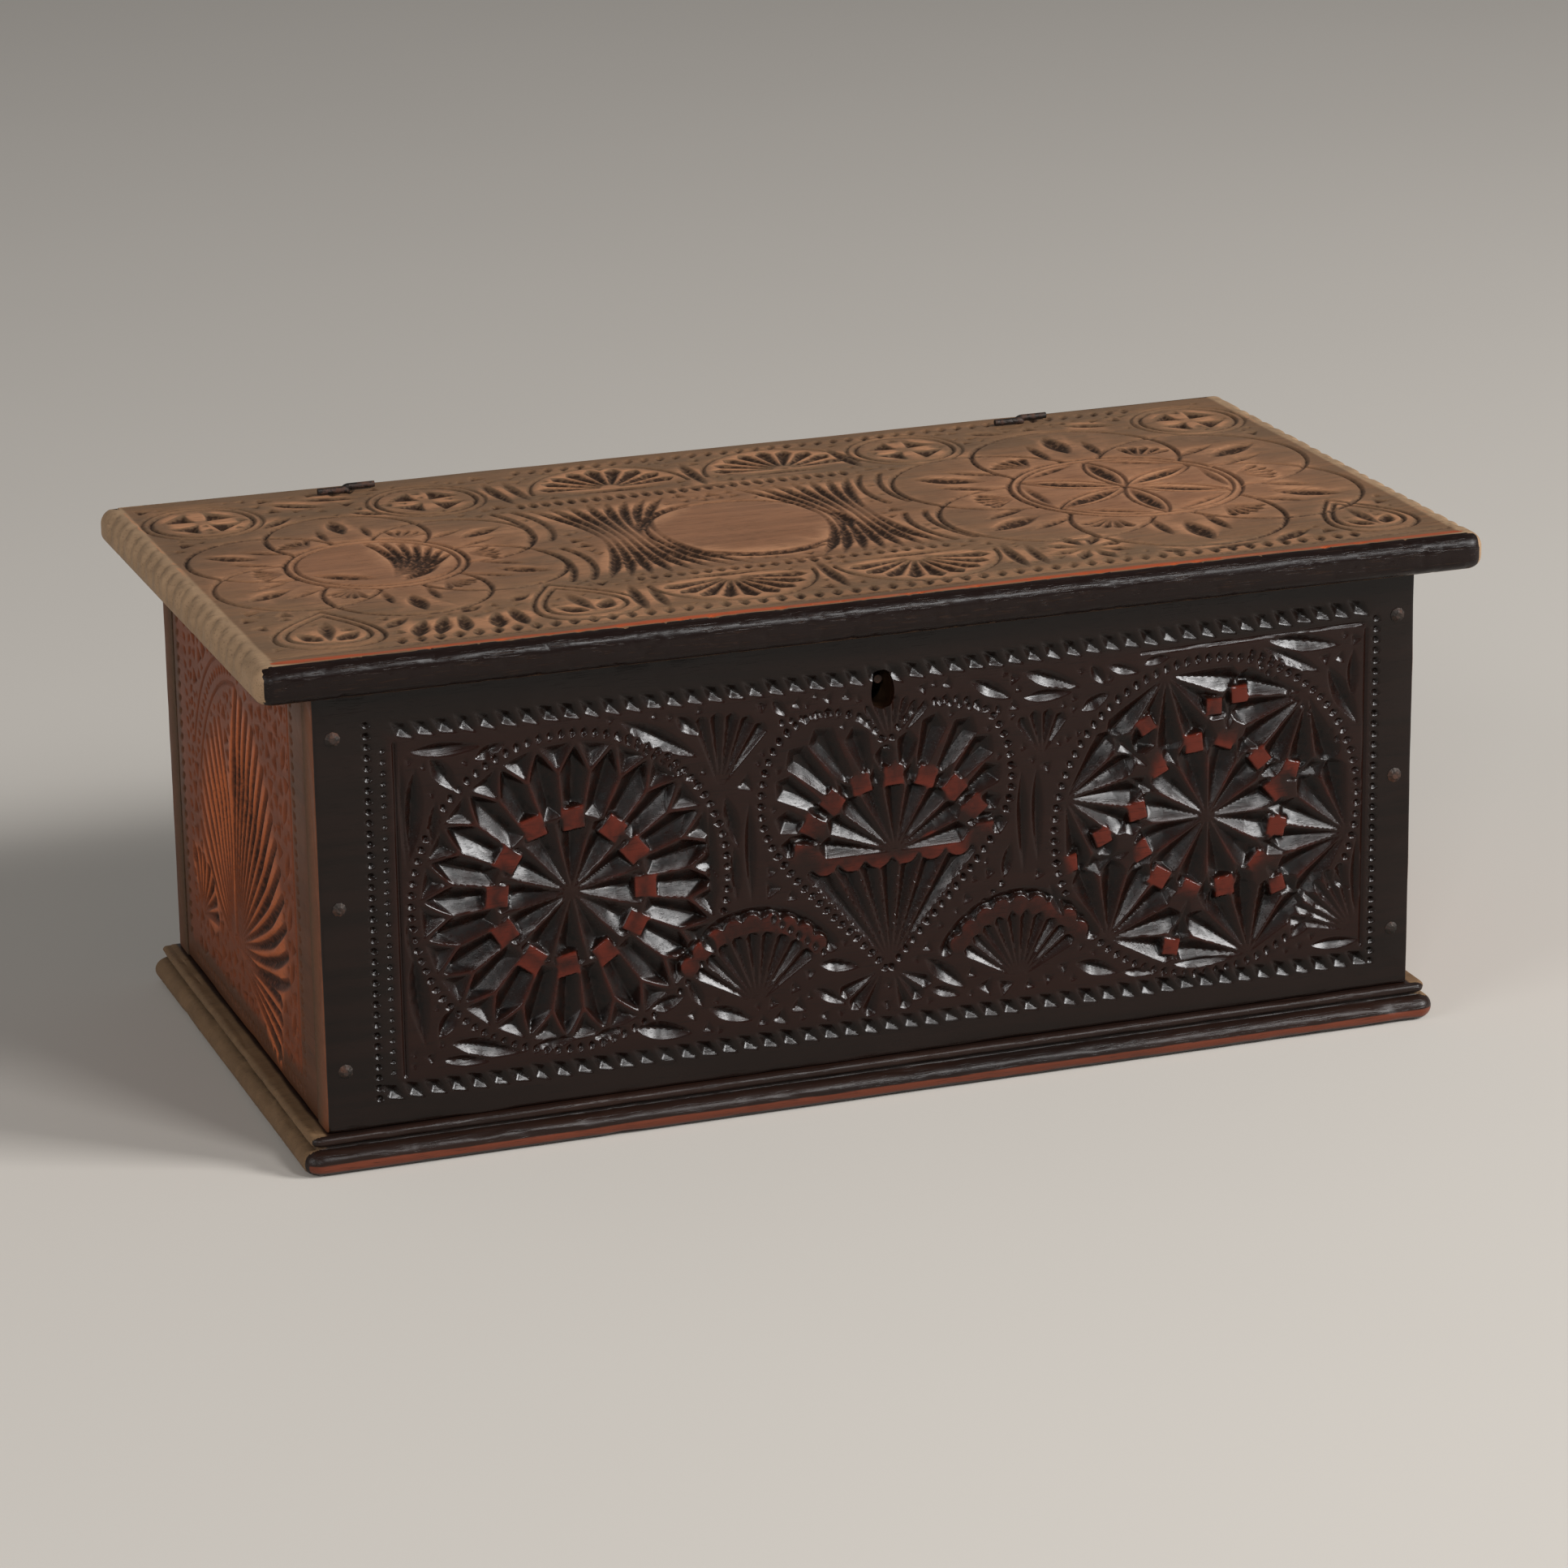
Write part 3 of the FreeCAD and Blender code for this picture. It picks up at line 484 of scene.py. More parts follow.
def carve_tear(face, apex, bottom, width):
    """A tear between two nested outlines, with a leaf down its middle and two dark wedges low in it."""
    apex, bottom = np.array(apex, float), np.array(bottom, float)
    axis = apex - bottom
    side = np.array((axis[1], -axis[0])) / math.hypot(*axis)
    turn = np.linspace(0, 2 * math.pi, 60)[:, None]
    for share in (1.0, 0.76):
        along = 0.5 + 0.5 * share * np.cos(turn)
        across = 0.62 * width * share * np.sin(turn) * np.abs(np.sin(turn / 2)) ** 1.2
        face.groove(bottom + axis * along + side * across, 2.0, 1.2)
    face.leaf(tuple(bottom + axis * 0.74), tuple(bottom + axis * 0.18), width * 0.16, 1.2)
    for sign in (-1, 1):
        low = bottom + axis * 0.2 + side * sign * width * 0.06
        face.leaf(tuple(low), tuple(bottom + axis * 0.42 + side * sign * width * 0.26), width * 0.2, 1.8, 0.4)


def carve_lid(face):
    """The lid: two figures of overlapping circles, sheaves and fans round a plain round, all much worn."""
    left, right, plain = (-155.5, -1.0), (137, -4.5), (-15, -3)
    carve_overlapping_circles(face, left, 33, 30, 40, 1.8)
    tips = [polar(left, 27, 4 + 13 * k) for k in range(7)]
    carve_plume(face, (left[0] + 1, left[1] - 20), tips, (3, 8), 5.4)
    face.leaf((left[0] - 27, left[1] - 6), (left[0] - 4, left[1] - 20), 8.0, 1.8)
    face.leaf((left[0] + 2, left[1] - 26), (left[0] + 22, left[1] - 8), 7.5, 1.8)
    carve_overlapping_circles(face, right, 44, 40, 49, 2.0)
    for k in range(6):
        turn = 30 + 60 * k
        face.leaf(polar(right, 2, turn), polar(right, 39, turn), 8.0, 2.0, 0.55)
        face.leaf(polar(right, 39.5, turn + 6), polar(right, 39.5, turn + 54), 4.4, 1.2)
        face.groove(circle(polar(right, 40.6, turn), 40.6, turn + 120, 120, 40), 1.8, 1.1)
    # The plain round between them, with a crescent cut at three sides
    face.groove(circle(plain, 36.5), 2.2, 1.3)
    for turn, sweep in ((138, 80), (-4, 46), (266, 80)):
        for a, b in zip(range(10), range(1, 11)):
            arc = circle(plain, 39, turn - sweep / 2 + sweep * a / 10, sweep / 10, 2)
            wide = 6.4 * math.sin(math.pi * (a + 0.5) / 10)
            face.groove(arc, wide, 0.32 * wide)
    # Sheaves beside it: long strokes that draw together at the waist
    widths = np.interp(np.linspace(0, 1, 24), (0, 0.15, 0.5, 0.85, 1), (2.0, 6.0, 1.6, 6.2, 2.0))
    for waist, strokes in ((-60, range(-3, 5)), (29, range(-4, 3))):
        for k in strokes:
            back_end, front_end = (waist + 7.4 * k, 48), (waist + 7.6 * k, -51)
            narrow = waist + 1.6 * k
            face.stroke(bezier(back_end, (narrow, 18), (narrow, -18), front_end, 25), widths, 0.3)
    for apex in ((-43, 70), (27, 71)):
        face.fan(apex, 24, 4, 176, 9, 1.7, inner=4, point=4)
        face.groove(circle(apex, 31, 0, 180, 40), 1.8, 1.1)
        face.leaf((apex[0] - 22, apex[1] - 4), (apex[0] + 22, apex[1] - 4), 5.0, 1.2)
    for apex in ((-43, -66), (27, -67)):
        face.fan(apex, 24, 184, 356, 9, 1.7, inner=4, point=4)
        face.groove(circle(apex, 31, 180, 180, 40), 1.8, 1.1)
        face.leaf((apex[0] - 22, apex[1] + 4), (apex[0] + 22, apex[1] + 4), 5.0, 1.2)
    # Quartered circles towards the back, tears and a star towards the front
    for centre in ((-200, 79), (-114, 78), (80, 80), (200, 80)):
        face.groove(circle(centre, 19), 2.0, 1.2)
        face.groove(circle(centre, 22.5), 1.6, 0.9)
        for k in range(4):
            turn = 45 + 90 * k
            face.wedge(centre, 2.5, 15, turn, 30, 1.9)
    carve_tear(face, (-191, -54), (-199, -101), 42)
    carve_tear(face, (-107, -51), (-99, -99), 42)
    carve_tear(face, (198, -52), (203, -100), 36)
    for k in range(8):
        turn = 15 + 45 * k
        face.leaf(polar((90, -80), 2, turn), polar((90, -80), 18, turn), 6.5, 1.8, 0.55, True)
    # Leaves in the gaps
    for *ends, width in (
        (-168, -98, -160, -78, 8), (-160, -98, -152, -76, 8), (-150, -98, -146, -76, 7),
        (-138, -98, -134, -78, 8), (-128, -98, -128, -74, 7), (-176, -84, -164, -72, 6),
        (-146, -74, -136, -68, 6), (-126, -68, -116, -60, 6), (-172, 96, -150, 84, 7),
        (-160, 98, -134, 92, 6), (-182, 62, -166, 76, 6), (-146, 74, -130, 64, 6),
        (-88, 96, -84, 58, 6), (-80, 96, -77, 60, 5), (-84, -98, -80, -60, 6), (-76, -98, -74, -66, 5),
        (-8, 96, -8, 58, 6), (-8, -98, -8, -54, 6), (-20, 58, 4, 58, 4), (-20, -52, 4, -52, 4),
        (60, -98, 62, -60, 6), (68, -98, 70, -64, 5), (56, 60, 52, 96, 6), (110, 94, 126, 88, 6),
        (150, 92, 172, 84, 7), (112, -92, 122, -98, 6), (126, -98, 152, -96, 5),
        (156, -98, 176, -86, 7),
    ):
        face.leaf(ends[:2], ends[2:], width, width * 0.24, 0.45)
    # Curved lines between the left figure and its sheaf, and rows of upright cuts above and below the round
    for u in (-95, -87):
        for side in (-1, 1):
            bow = bezier((u, side * 6), (u + 6, side * 18), (u + 6, side * 34), (u - 2, side * 50), 16)
            face.groove(bow, 3.2, 1.1)
    for u in (46, 54):
        for side in (-1, 1):
            bow = bezier((u, side * 8), (u - 4, side * 20), (u - 4, side * 34), (u + 4, side * 50), 16)
            face.groove(bow, 3.0, 1.1)
    face.nicks([(-86, 56), (48, 56)], 5.0, 9.0, 4.0, 1.4, 90, False)
    face.nicks([(-74, 104), (186, 104)], 6.5, 8.0, 4.0, 1.2, 70, False)
    face.nicks([(-76, -56), (46, -56)], 5.0, 6.6, 3.8, 1.3, 90, False)
    face.nicks([(-178, -100), (190, -100)], 7.0, 9.0, 4.2, 1.3, 80, False)
    face.groove([(-222, -105.5), (222, -105.5)], 2.0, 1.2)
    face.fill_gaps((-218, -100), (218, 104), ((*left, 71), (*right, 90), (*plain, 40)), 0.4)


def carve_plume(face, root, tips, bend, widest):
    """Curved flutes side by side from one root, each swelling towards its tip."""
    root = np.array(root, float)
    for tip, lean in zip(np.array(tips, float), np.linspace(*bend, len(tips))):
        run = tip - root
        side = np.array((run[1], -run[0])) / math.hypot(*run)
        middle = root + run * 0.6 + side * lean
        path = bezier(root, root + (middle - root) * 0.6, middle, tip, 26)
        widths = widest * np.interp(np.linspace(0, 1, 25), (0, 0.7, 1), (0.15, 1.0, 0.6))
        face.stroke(path, widths, 0.36)


def carve_end(face):
    """An end board: two plumes of curved flutes that spring from low down, with a nicked arc behind."""
    carve_plume(face, (16.7, 31), oval_arc((10, 40), 67, 92, 180, 96, 14), (-9, 10), 7.6)
    face.fan((12, 27), 56, 168, 204, 5, 2.0, inner=5, point=3)
    for k in range(6):
        face.leaf((-66, 132 - 20 * k), (-60, 120 - 20 * k), 5.0, 1.7)
    arc = bezier((8, 138), (34, 136), (56, 118), (66, 90))
    face.nicks(arc, 4.2, 4.8, 3.0, 1.5, 72)
    face.groove(arc + np.array((4.0, 4.0)), 1.6, 0.9)
    face.groove(arc - np.array((4.0, 4.0)), 1.6, 0.9)
    carve_plume(face, (22, 29), oval_arc((26, 40), 42, 74, 84, 18, 8), (-8, 7), 6.4)
    face.fan((70, 26), 24, 60, 176, 7, 2.0, inner=3, scallop=2)
    face.nicks([(72, 92), (72, 146)], 5.0, 6.0, 3.4, 1.6, 40)
    face.nicks([(80, 20), (80, 146)], 5.4, 5.6, 3.2, 1.5, -55)
    face.nicks([(-76, 5), (84, 5)], 5.2, 5.6, 3.2, 1.5, 60)
    face.nicks([(91, 10), (91, 154)], 5.2, 6.0, 3.4, 1.5, 60)
    face.nicks([(-76, 10), (-76, 152)], 4.6, 5.0, 3.2, 1.6, -62)
    face.groove([(-71, 10), (-71, 150)], 1.6, 0.9)
    face.nicks([(-72, 152), (86, 152)], 5.6, 5.4, 3.2, 1.5, 60)
    face.fill_gaps((-70, 10), (76, 148), deep=0.45)


# Meshes

def mesh_from(name, points, triangles):
    """A mesh from arrays of points in millimetres and of corner numbers, with its faces outwards."""
    first, second, third = triangles.T
    triangles = triangles[(first != second) & (second != third) & (third != first)]
    a, b, c = (points[triangles[:, i]] for i in range(3))
    if np.einsum("ij,ij->", a, np.cross(b, c)) < 0:
        triangles = triangles[:, ::-1]
    mesh = bpy.data.meshes.new(name)
    mesh.vertices.add(len(points))
    mesh.vertices.foreach_set("co", (points * MM).ravel())
    mesh.loops.add(triangles.size)
    mesh.loops.foreach_set("vertex_index", np.ascontiguousarray(triangles, dtype=np.int32).ravel())
    mesh.polygons.add(len(triangles))
    mesh.polygons.foreach_set("loop_start", np.arange(0, triangles.size, 3, dtype=np.int32))
    mesh.update(calc_edges=True)
    mesh.validate()
    return mesh


def grid_triangles(depth, numbers):
    """Two triangles for each cell, split along the diagonal that the cut follows."""
    a, b = numbers[:-1, :-1].ravel(), numbers[:-1, 1:].ravel()
    c, d = numbers[1:, 1:].ravel(), numbers[1:, :-1].ravel()
    rising = np.abs(depth[:-1, :-1] - depth[1:, 1:]).ravel()
    falling = np.abs(depth[:-1, 1:] - depth[1:, :-1]).ravel()
    flip = rising > falling
    first = np.where(flip[:, None], np.stack((a, b, d), 1), np.stack((a, b, c), 1))
    second = np.where(flip[:, None], np.stack((b, c, d), 1), np.stack((a, c, d), 1))
    return np.concatenate((first, second))


def border_of(numbers):
    """The numbers round the outside of a grid, in order."""
    return np.concatenate((numbers[0, :-1], numbers[:-1, -1], numbers[-1, :0:-1], numbers[:0:-1, 0]))


def add_object(name, mesh):
    """A new object for a mesh, in the scene."""
    piece = bpy.data.objects.new(name, mesh)
    bpy.context.scene.collection.objects.link(piece)
    return piece


def apply_modifiers(piece):
    """Turns a piece with modifiers into a plain mesh."""
    graph = bpy.context.evaluated_depsgraph_get()
    mesh = bpy.data.meshes.new_from_object(piece.evaluated_get(graph))
    piece.modifiers.clear()
    old = piece.data
    piece.data = mesh
    bpy.data.meshes.remove(old)
    return piece


def thin(piece, most):
    """Brings a piece down to a number of triangles, where flat facets need few."""
    count = len(piece.data.polygons)
    if count > most:
        modifier = piece.modifiers.new("thin", "DECIMATE")
        modifier.ratio = most / count
        apply_modifiers(piece)
    return piece


def points_of(mesh):
    """A mesh's points in millimetres."""
    flat = np.empty(len(mesh.vertices) * 3)
    mesh.vertices.foreach_get("co", flat)
    return flat.reshape(-1, 3) / MM


def paint(piece, **fields):
    """Stores a number on each point of a piece for its finish to read."""
    for name, values in fields.items():
        layer = piece.data.attributes.new(name, "FLOAT", "POINT")
        layer.data.foreach_set("value", np.asarray(values, dtype=np.float32))


def crisp(piece, degrees):
    """Smooth shading inside each facet and a sharp line between facets."""
    piece.data.shade_smooth()
    piece.data.set_sharp_from_angle(angle=math.radians(degrees))


def carved_board(name, carving, place, thickness, most=180000):
    """A closed board whose outer face has the carving. Place turns u, v and depth into a point."""
    numbers = np.arange(carving.depth.size).reshape(carving.depth.shape)
    u, v = (field.ravel() for field in np.meshgrid(carving.u, carving.v))
    outer = place(u, v, carving.depth.ravel())
    border = border_of(numbers)
    inner = place(u[border], v[border], np.full(len(border), thickness))
    middle = inner.mean(axis=0, keepdims=True)
    first = len(outer)
    back = first + np.arange(len(border))
    following = np.roll(back, -1)
    centre = np.full(len(border), first + len(border))
    skirt = np.concatenate((
        np.stack((border, back, np.roll(border, -1)), 1),
        np.stack((np.roll(border, -1), back, following), 1),
        np.stack((following, back, centre), 1),
    ))
    triangles = np.concatenate((grid_triangles(carving.depth, numbers), skirt))
    return thin(add_object(name, mesh_from(name, np.concatenate((outer, inner, middle)), triangles)), most)


def paint_board(piece, carving, flat, inward, usual, panel, rub=(1.2, 0.3)):
    """Gives a carved board the fields its finish reads.

    Flat turns points into u, v and depth. Usual is the depth of a common cut, and panel the lowest
    and highest corner of the carved part. Rub says how ridges are rubbed.
    """
    u, v, deep = flat(points_of(piece.data))
    outside = deep < inward * 0.6
    # The cut depth also darkens the finish: grime and painted shade in the cuts.
    cut = np.where(outside, carving.read(smoothed(carving.depth, 0.6), u, v), 0.0)
    worn = np.where(outside, carving.read(carving.worn(*rub), u, v), 0.0)
    (left, low), (right, high) = panel
    paint(
        piece, cut=cut / usual, worn=worn, inner=np.clip((deep - inward * 0.8) / (inward * 0.2), 0.0, 1.0),
        panel=band(u, left, right, 6.0) * band(v, low, high, 6.0),
        end_grain=np.where(np.minimum(u - carving.u[0], carving.u[-1] - u) < 0.3, 1.0, 0.0),
    )


def keyhole_cutter(centre, width, height):
    """A bar with the keyhole's outline, to be taken out of the front."""
    turns = np.linspace(0, 2 * math.pi, 40, endpoint=False)
    waist = 1 - 0.1 * np.cos(2 * turns) - 0.12 * np.sin(turns)
    outline = np.stack((width / 2 * np.cos(turns) * waist, height / 2 * np.sin(turns)), 1)
    before = np.full(40, FRONT_FACE - 5)
    near = np.column_stack((outline[:, 0] + centre[0], before, outline[:, 1] + centre[1]))
    far = near + np.array((0, BOARD + 10, 0))
    ends = np.array(((centre[0], FRONT_FACE - 5, centre[1]), (centre[0], FRONT_FACE + BOARD + 5, centre[1])))
    ring = np.arange(40)
    after = np.roll(ring, -1)
    triangles = np.concatenate((
        np.stack((ring, after, ring + 40), 1),
        np.stack((after, after + 40, ring + 40), 1),
        np.stack((after, ring, np.full(40, 80)), 1),
        np.stack((ring + 40, after + 40, np.full(40, 81)), 1),
    ))
    points = np.concatenate((near, far, ends))
    return add_object("keyhole_cutter", mesh_from("keyhole_cutter", points, triangles))


def make_front():
    """The carved front board with its keyhole."""
    carving = Carving((FRONT_LOW[0], 0.0), (FRONT_HIGH[0], CASE_HEIGHT), 1)
    carve_front(carving)
    carving.age(0.28, 0.25, 1.1)

    def place(u, v, depth):
        return np.column_stack((u, FRONT_FACE + depth, CASE_BOTTOM + v))

    def flat(points):
        return points[:, 0], points[:, 2] - CASE_BOTTOM, points[:, 1] - FRONT_FACE

    piece = carved_board("carved_front", carving, place, BOARD)
    cutter = keyhole_cutter(KEYHOLE_PLACE, KEYHOLE_WIDTH, KEYHOLE_HEIGHT)
    hole = piece.modifiers.new("keyhole", "BOOLEAN")
    hole.operation = "DIFFERENCE"
    hole.object = cutter
    hole.solver = "MANIFOLD"
    apply_modifiers(piece)
    bpy.data.objects.remove(cutter)
    paint_board(piece, carving, flat, BOARD, 2.4, FRONT_PANEL)
    return piece


def make_end(name, face_x, inward):
    """A carved end board. Inward is the direction in X from its outer face into the box."""
    carving = Carving((LEFT_LOW[1], 0.0), (LEFT_HIGH[1], CASE_HEIGHT), 2)
    carve_end(carving)
    carving.age(0.3, 0.3, 0.9)
    thickness = LEFT_HIGH[0] - LEFT_LOW[0]

    def place(u, v, depth):
        return np.column_stack((face_x + inward * depth, u, CASE_BOTTOM + v))

    def flat(points):
        return points[:, 1], points[:, 2] - CASE_BOTTOM, (points[:, 0] - face_x) * inward

    piece = carved_board(name, carving, place, thickness, 120000)
    paint_board(piece, carving, flat, thickness, 2.2, END_PANEL, (0.7, 0.75))
    return piece


def make_back():
    """The plain back board, with the plane's long shallow tracks."""
    carving = Carving((BACK_LOW[0], 0.0), (BACK_HIGH[0], CASE_HEIGHT), 3)
    tracks = np.abs(np.sin(carving.v[:, None] / 9.0 + 0.25 * np.sin(carving.u[None, :] / 70.0)))
    carving.depth = 0.25 * tracks
    carving.age(0.8, 0.35, 1.0)

    def place(u, v, depth):
        return np.column_stack((u, BACK_FACE - depth, CASE_BOTTOM + v))

    def flat(points):
        return points[:, 0], points[:, 2] - CASE_BOTTOM, BACK_FACE - points[:, 1]

    piece = carved_board("planed_back", carving, place, BOARD, 40000)
    paint_board(piece, carving, flat, BOARD, 2.4, NO_PANEL)
    return piece


def even_profile(shape, step):
    """A moulding's outline from its top inwards end, as offsets, heights and run, at even steps."""
    shape = np.array(shape, float)
    legs = np.diff(shape, axis=0)
    run = np.concatenate(([0.0], np.cumsum(np.hypot(legs[:, 0], legs[:, 1]))))
    fine = np.linspace(0, run[-1], max(8, round(run[-1] / step)))
    return np.interp(fine, run, shape[:, 0]), np.interp(fine, run, shape[:, 1]), fine


def quarter(centre, radius, start, end):
    """A rounded part of a moulding's outline."""
    return [polar(centre, radius, turn) for turn in np.linspace(start, end, 10)]


def moulded_board(name, carving, shape, underside, step, wear, most):
    """A closed board with a moulded edge round its left end, front and right end.

    Shape is the moulding's outline, from its foot on the top face. Wear gives how far the edge is
    cut back from the run along it, the run down it and the parts that belong to the ends.
    """
    offset, height, run = even_profile(shape, step)
    rows, columns = carving.depth.shape
    numbers = np.arange(rows * columns).reshape(rows, columns)
    u, v = (field.ravel() for field in np.meshgrid(carving.u, carving.v))
    top = np.column_stack((u, v, height[0] - carving.depth.ravel()))
    left = [(number, (-1.0, 0.0)) for number in numbers[::-1, 0]]
    front = [(number, (0.0, -1.0)) for number in numbers[0, :]]
    right = [(number, (1.0, 0.0)) for number in numbers[:, -1]]
    turns = np.radians(np.linspace(0, 90, 12)[1:-1])
    near_left = [(numbers[0, 0], (-math.cos(t), -math.sin(t))) for t in turns]
    near_right = [(numbers[0, -1], (math.sin(t), -math.cos(t))) for t in turns]
    walk = left + near_left + front + near_right + right
    feet = np.array([number for number, _ in walk])
    outward = np.array([direction for _, direction in walk])
    along = np.concatenate(([0.0], np.cumsum(np.hypot(*np.diff(top[feet, :2] + outward * RIM, axis=0).T))))
    inset = wear(along, run, (along[len(left) - 1], along[-len(right)]))
    inset[0] = 0.0
    inset[-1] = 0.0
    out, up = -np.gradient(height, run), np.gradient(offset, run)
    strip = np.empty((len(run), len(walk), 3))
    for row, cut in enumerate(inset):
        strip[row, :, :2] = top[feet, :2] + outward * (offset[row] - cut * max(out[row], 0.0))[:, None]
        strip[row, :, 2] = np.clip(height[row] - cut * up[row], underside, height[0])
    first = len(top)
    strip_numbers = first + np.arange((len(run) - 1) * len(walk)).reshape(len(run) - 1, len(walk))
    strip_numbers = np.concatenate((feet[None, :], strip_numbers))
    points = np.concatenate((top, strip[1:].reshape(-1, 3)))
    triangles = [grid_triangles(carving.depth, numbers), grid_triangles(inset, strip_numbers)[:, ::-1]]
    # The back face and the underside close the board
    back_loop = np.concatenate((numbers[-1, ::-1], strip_numbers[1:, 0], strip_numbers[:0:-1, -1]))
    for loop in (back_loop, strip_numbers[-1]):
        hub = len(points)
        points = np.concatenate((points, points[loop].mean(axis=0, keepdims=True)))
        triangles.append(np.stack((np.roll(loop, -1), loop, np.full(len(loop), hub)), 1))
    return thin(add_object(name, mesh_from(name, points, np.concatenate(triangles))), most)


def dents(chance, along, run, reach, depth):
    """Shallow seeded knocks along an edge, as depths."""
    field = smoothed(chance.normal(0, 1, (len(run), len(along))), reach)
    field = field / np.abs(field).max()
    return depth * np.clip(field - 0.1, 0, None)


def lid_wear(along, run, ends):
    """The lid's edge: a row of nicks along each end and knocks everywhere."""
    chance = np.random.default_rng(SEED + 5)
    cut = dents(chance, along, run, 2.2, 0.7)
    middle = run[-1] * 0.38
    for start, end in ((12.0, ends[0] - 10.0), (ends[1] + 10.0, along[-1] - 12.0)):
        for place in np.arange(start, end, 10.8):
            place = place + chance.normal(0, 0.6)
            wide = 3.6 + chance.normal(0, 0.3)
            near = np.abs(along[None, :] - place - 0.25 * (run[:, None] - middle))
            reach = np.clip(1 - np.abs(run[:, None] - middle) / 7.0, 0, 1)
            cut = np.maximum(cut, 2.2 * np.clip(1 - near / wide, 0, 1) * reach)
    return cut


def base_wear(along, run, ends):
    """The bottom board's edge: knocks and rubbed places."""
    chance = np.random.default_rng(SEED + 6)
    return dents(chance, along, run, 2.0, 0.6) + dents(chance, along, run, 9.0, 0.4)


def band(values, low, high, soft):
    """1 between two levels, with soft sides."""
    return np.clip((values - low) / soft, 0, 1) * np.clip((high - values) / soft, 0, 1)


def make_lid():
    """The carved lid board with its rounded edge."""
    low = np.array((LID_LOW[0] + RIM, LID_LOW[1] + RIM))
    high = np.array((LID_HIGH[0] - RIM, LID_HIGH[1]))
    carving = Carving(low, high, 4)
    carve_lid(carving)
    carving.age(0.35, 0.0, 0.01)
    # The top face is level where its rim begins, so that the two meet
    fade_u = np.clip(np.minimum(carving.u - low[0], high[0] - carving.u) / 2.0, 0, 1)[None, :]
    fade_v = np.clip((carving.v - low[1]) / 2.0, 0, 1)[:, None]
    wander = smoothed(carving.chance.normal(0, 1, carving.depth.shape), 16 / CARVING_STEP)
    dip = 0.5 * (wander - wander.min()) / (wander.max() - wander.min())
    carving.depth = (carving.depth + dip) * fade_u * fade_v
    top, under = LID_HIGH[2], LID_LOW[2]
    shape = [(0.0, top)]
    shape += quarter((RIM - LID_TOP_ROUND, top - LID_TOP_ROUND), LID_TOP_ROUND, 90, 0)
    shape += quarter((RIM - LID_UNDER_ROUND, under + LID_UNDER_ROUND), LID_UNDER_ROUND, 0, -90)
    piece = moulded_board("carved_lid", carving, shape, under, CARVING_STEP, lid_wear, 185000)
    points = np.clip(points_of(piece.data), LID_LOW, LID_HIGH)
    piece.data.vertices.foreach_set("co", (points * MM).ravel())
    piece.data.update()
    x, y, z = points.T
    on_top = (z > top - 3.0) & (y > low[1]) & (np.abs(x) < high[0])
    # The cut depth also darkens the finish: grime and painted shade in the cuts.
    cut = np.where(on_top, carving.read(smoothed(carving.depth, 0.6), x, y), 0.0)
    worn = np.where(on_top, carving.read(carving.worn(0.55, 0.8), x, y), 0.0)
    handled = np.zeros(len(points))
    for centre, radius in (((-155, -1), 62), ((137, -4), 78), ((-15, -3), 66)):
        away = np.hypot(x - centre[0], (y - centre[1]) * 1.15)
        handled = np.maximum(handled, np.clip(1.4 - away / radius, 0, 1))
    paint(
        piece, cut=cut / 1.6, worn=worn, handled=handled, inner=np.where(z < under + 0.6, 1.0, 0.0),
        front_edge=np.where((y < LID_LOW[1] + LID_DARK_EDGE) & (np.abs(x) < 228.0), 1.0, 0.0),
        arris=band(y - LID_LOW[1], 4.8, 10.0, 1.2) * (z > top - 2.0) * (np.abs(x) < 224),
        dusty=np.clip((np.abs(x) - 221.0) / 4.0, 0, 1),
    )
    return piece


def make_base():
    """The bottom board with its moulded edge: a bullnose, a quirk and a bead."""
    low = np.array((BOTTOM_LOW[0] + RIM, BOTTOM_LOW[1] + RIM))
    high = np.array((BOTTOM_HIGH[0] - RIM, BOTTOM_HIGH[1]))
    carving = Carving(low, high, 7, 2.0)
    top = BOTTOM_HIGH[2]
    bead, nose = 1.75, 4.4
    shape = [(0.0, top)]
    shape += quarter((RIM - 3.0 - bead, top - bead), bead, 90, -60)
    shape += [(RIM - 5.0, top - 3.6), (RIM - 5.0, 9.4)]
    shape += quarter((RIM - nose, 9.0 - nose), nose, 70, -70)
    shape += [(RIM - nose - 0.2, 0.0)]
    piece = moulded_board("moulded_base", carving, shape, BOTTOM_LOW[2], CARVING_STEP, base_wear, 90000)
    x, y, z = points_of(piece.data).T
    front = BOTTOM_LOW[1]
    # The quirk between bead and nose is given a cut value, so it is painted dark as grime and painted shade
    # in the groove.
    paint(
        piece, cut=band(z, 8.4, 11.4, 1.0) * 0.7, worn=np.zeros(len(x)), inner=np.where(z < 0.3, 1.0, 0.0),
        arris=band(z, 0.6, 6.0, 2.0) * (y < front + 3.0),
        dusty=np.clip((np.abs(x) - 208.0) / 5.0, 0, 1) * (y > front + 5.0),
    )
    return piece


# Nails

